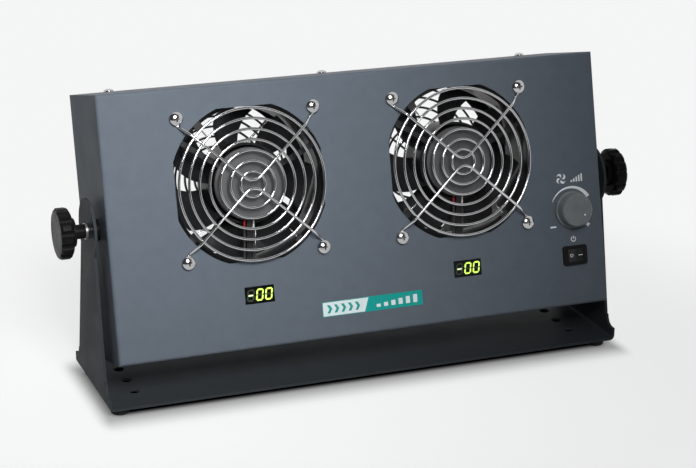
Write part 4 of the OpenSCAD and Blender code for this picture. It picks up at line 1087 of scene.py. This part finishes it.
class BLOWER_OT_stage(Operator):
    """Set the floor, the even light, the lamps, the camera and the dark card behind it"""

    bl_idname = "blower.stage"
    bl_label = "Studio"

    def execute(self, context):
        stage = context.scene.blower_stage
        self.floor(stage)
        self.world(context.scene, stage)
        self.lamp("key", (-0.22, -0.85, 0.74), (-0.19, 0, 0.25), 0.4, stage.key_power,
                  stage.key_spread)
        self.lamp("fill", (0.9, -1.3, 0.35), (0.05, 0, 0.12), 0.9, stage.fill_power)
        self.lamp("rim", (0.1, 0.5, 1.2), (0, 0, 0.15), 0.9, stage.rim_power)
        self.camera(context.scene)
        self.card(context.scene.camera)
        context.scene.view_settings.view_transform = "Standard"
        return {"FINISHED"}

    def floor(self, stage):
        """A floor with a painted soft shadow about the bracket, painted darkness under it and the
        backdrop far out.
        """
        material = studio_material("studio_floor")
        tree, color = material.node_tree, stage.floor_color
        place = add_node(tree, "ShaderNodeTexCoord").outputs["Object"]
        wide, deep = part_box("bracket")[1][:2]

        # painted shadow: the floor's glow fades towards the bracket's box and is painted black
        # under it, on top of the real shadow that the matte share takes
        past = past_box(tree, place, (wide, deep, 0))
        weighed = vector_math(tree, "MULTIPLY", past, (PAINTED_SHADOW_SIDE, 1, 0))
        painted_shadow_open = eased(tree, vector_math(tree, "LENGTH", weighed), PAINTED_SHADOW_FROM, PAINTED_SHADOW_TO)
        level = number_math(tree, "MULTIPLY", painted_shadow_open, FLOOR_LEVEL)
        lit = result(tree, "ShaderNodeAddShader", {
            0: diffuse(tree, color, FLOOR_MATTE), 1: emission(tree, color, level),
        })

        inside = past_box(tree, place, (wide - PAINTED_DARK_INSET, deep - PAINTED_DARK_INSET, 0))
        out_of_painted_dark = eased(tree, vector_math(tree, "LENGTH", inside), 0, PAINTED_DARK_INSET)
        near = mixed(tree, out_of_painted_dark, emission(tree, (0, 0, 0)), lit)
        far = eased(tree, vector_math(tree, "LENGTH", place), PLAIN_FROM, PLAIN_TO)
        seen = mixed(tree, far, near, emission(tree, color))
        final = mixed(tree, seen_rays(tree), diffuse(tree, color, FLOOR_BOUNCE), seen)
        tree.links.new(final, tree.nodes["Material Output"].inputs["Surface"])

        verts = [(x, y, 0) for x, y in corner_points(FLOOR_HALF, FLOOR_HALF)]
        floor = studio_sheet("studio_floor", verts, material)

    def world(self, scene, stage):
        """Even light, behind which seen rays find the backdrop's colour."""
        world = bpy.data.worlds.new("studio_light")
        scene.world = world
        world.use_nodes = True
        tree = world.node_tree
        sky = tree.nodes["Background"]
        sky.inputs["Color"].default_value = (1, 1, 1, 1)
        sky.inputs["Strength"].default_value = stage.sky
        seen = result(tree, "ShaderNodeBackground", {"Color": (*stage.floor_color, 1)})
        final = mixed(tree, seen_rays(tree), sky.outputs["Background"], seen)
        tree.links.new(final, tree.nodes["World Output"].inputs["Surface"])

    def lamp(self, name, place, target, size, power, spread=math.pi):
        data = bpy.data.lights.new(name, "AREA")
        data.shape = "SQUARE"
        data.size = size
        data.energy = power
        data.spread = spread
        lamp = placed(name, data)
        lamp.location = place
        aim = Vector(target) - Vector(place)
        lamp.rotation_euler = aim.to_track_quat("-Z", "Y").to_euler()

    def card(self, camera):
        """A dark card behind the camera that only reflections see, for contrast on bright metal."""
        material = studio_material("studio_flag")
        tree = material.node_tree
        tree.links.new(emission(tree, CARD_COLOR), tree.nodes["Material Output"].inputs["Surface"])
        verts = [camera.matrix_world @ Vector((x, y, CARD_BEHIND))
                 for x, y in corner_points(CARD_WIDTH / 2, CARD_HEIGHT / 2)]
        card = studio_sheet("studio_flag", verts, material)
        card.visible_camera = False
        card.visible_diffuse = False
        card.visible_transmission = False
        card.visible_shadow = False

    def camera(self, scene):
        azimuth, elevation, roll = (math.radians(a) for a in CAMERA_TURN)
        back = Vector((math.sin(azimuth) * math.cos(elevation),
                       -math.cos(azimuth) * math.cos(elevation), math.sin(elevation)))
        right = Vector((0, 0, 1)).cross(back).normalized()
        up = back.cross(right)
        turned_right = right * math.cos(roll) + up * math.sin(roll)
        turned_up = up * math.cos(roll) - right * math.sin(roll)
        data = bpy.data.cameras.new("camera")
        data.lens = CAMERA_LENS
        data.sensor_width = CAMERA_SENSOR
        camera = placed("camera", data)
        place = Matrix((turned_right, turned_up, back)).transposed().to_4x4()
        place.translation = CAMERA_TARGET + CAMERA_DISTANCE * back
        camera.matrix_world = place
        scene.camera = camera


# ---- panel and start


class BLOWER_PT_panel(Panel):
    """Settings and steps of the blower's finish"""

    bl_label = "Ionizing blower"
    bl_idname = "BLOWER_PT_panel"
    bl_space_type = "VIEW_3D"
    bl_region_type = "UI"
    bl_category = "Blower"

    def draw(self, context):
        layout = self.layout
        for operator in STEPS:
            layout.operator(operator.bl_idname)
        for group in SETTINGS:
            settings = getattr(context.scene, group)
            box = layout.box()
            box.label(text=group.replace("blower_", "").title())
            for name in settings.bl_rna.properties.keys():
                if name not in ("rna_type", "name"):
                    box.prop(settings, name)


SETTINGS = {
    "blower_guards": GuardSettings,
    "blower_coats": CoatSettings,
    "blower_displays": DisplaySettings,
    "blower_prints": PrintSettings,
    "blower_stage": StageSettings,
}
STEPS = [
    BLOWER_OT_stage, BLOWER_OT_coats, BLOWER_OT_fasteners, BLOWER_OT_guards,
    BLOWER_OT_fans, BLOWER_OT_knobs, BLOWER_OT_switch, BLOWER_OT_displays,
    BLOWER_OT_label, BLOWER_OT_prints, BLOWER_OT_insides,
]


def register():
    for kind in (*SETTINGS.values(), *STEPS, BLOWER_PT_panel):
        bpy.utils.register_class(kind)
    for name, group in SETTINGS.items():
        setattr(bpy.types.Scene, name, PointerProperty(type=group))


def unregister():
    for name in SETTINGS:
        delattr(bpy.types.Scene, name)
    for kind in reversed((*SETTINGS.values(), *STEPS, BLOWER_PT_panel)):
        bpy.utils.unregister_class(kind)


def main():
    register()
    bpy.ops.blower.stage()
    bpy.ops.blower.coats()
    bpy.ops.blower.fasteners()
    bpy.ops.blower.guards()
    bpy.ops.blower.fans()
    bpy.ops.blower.knobs()
    bpy.ops.blower.switch()
    bpy.ops.blower.displays()
    bpy.ops.blower.label()
    bpy.ops.blower.prints()
    bpy.ops.blower.insides()


if __name__ == "__main__":
    main()
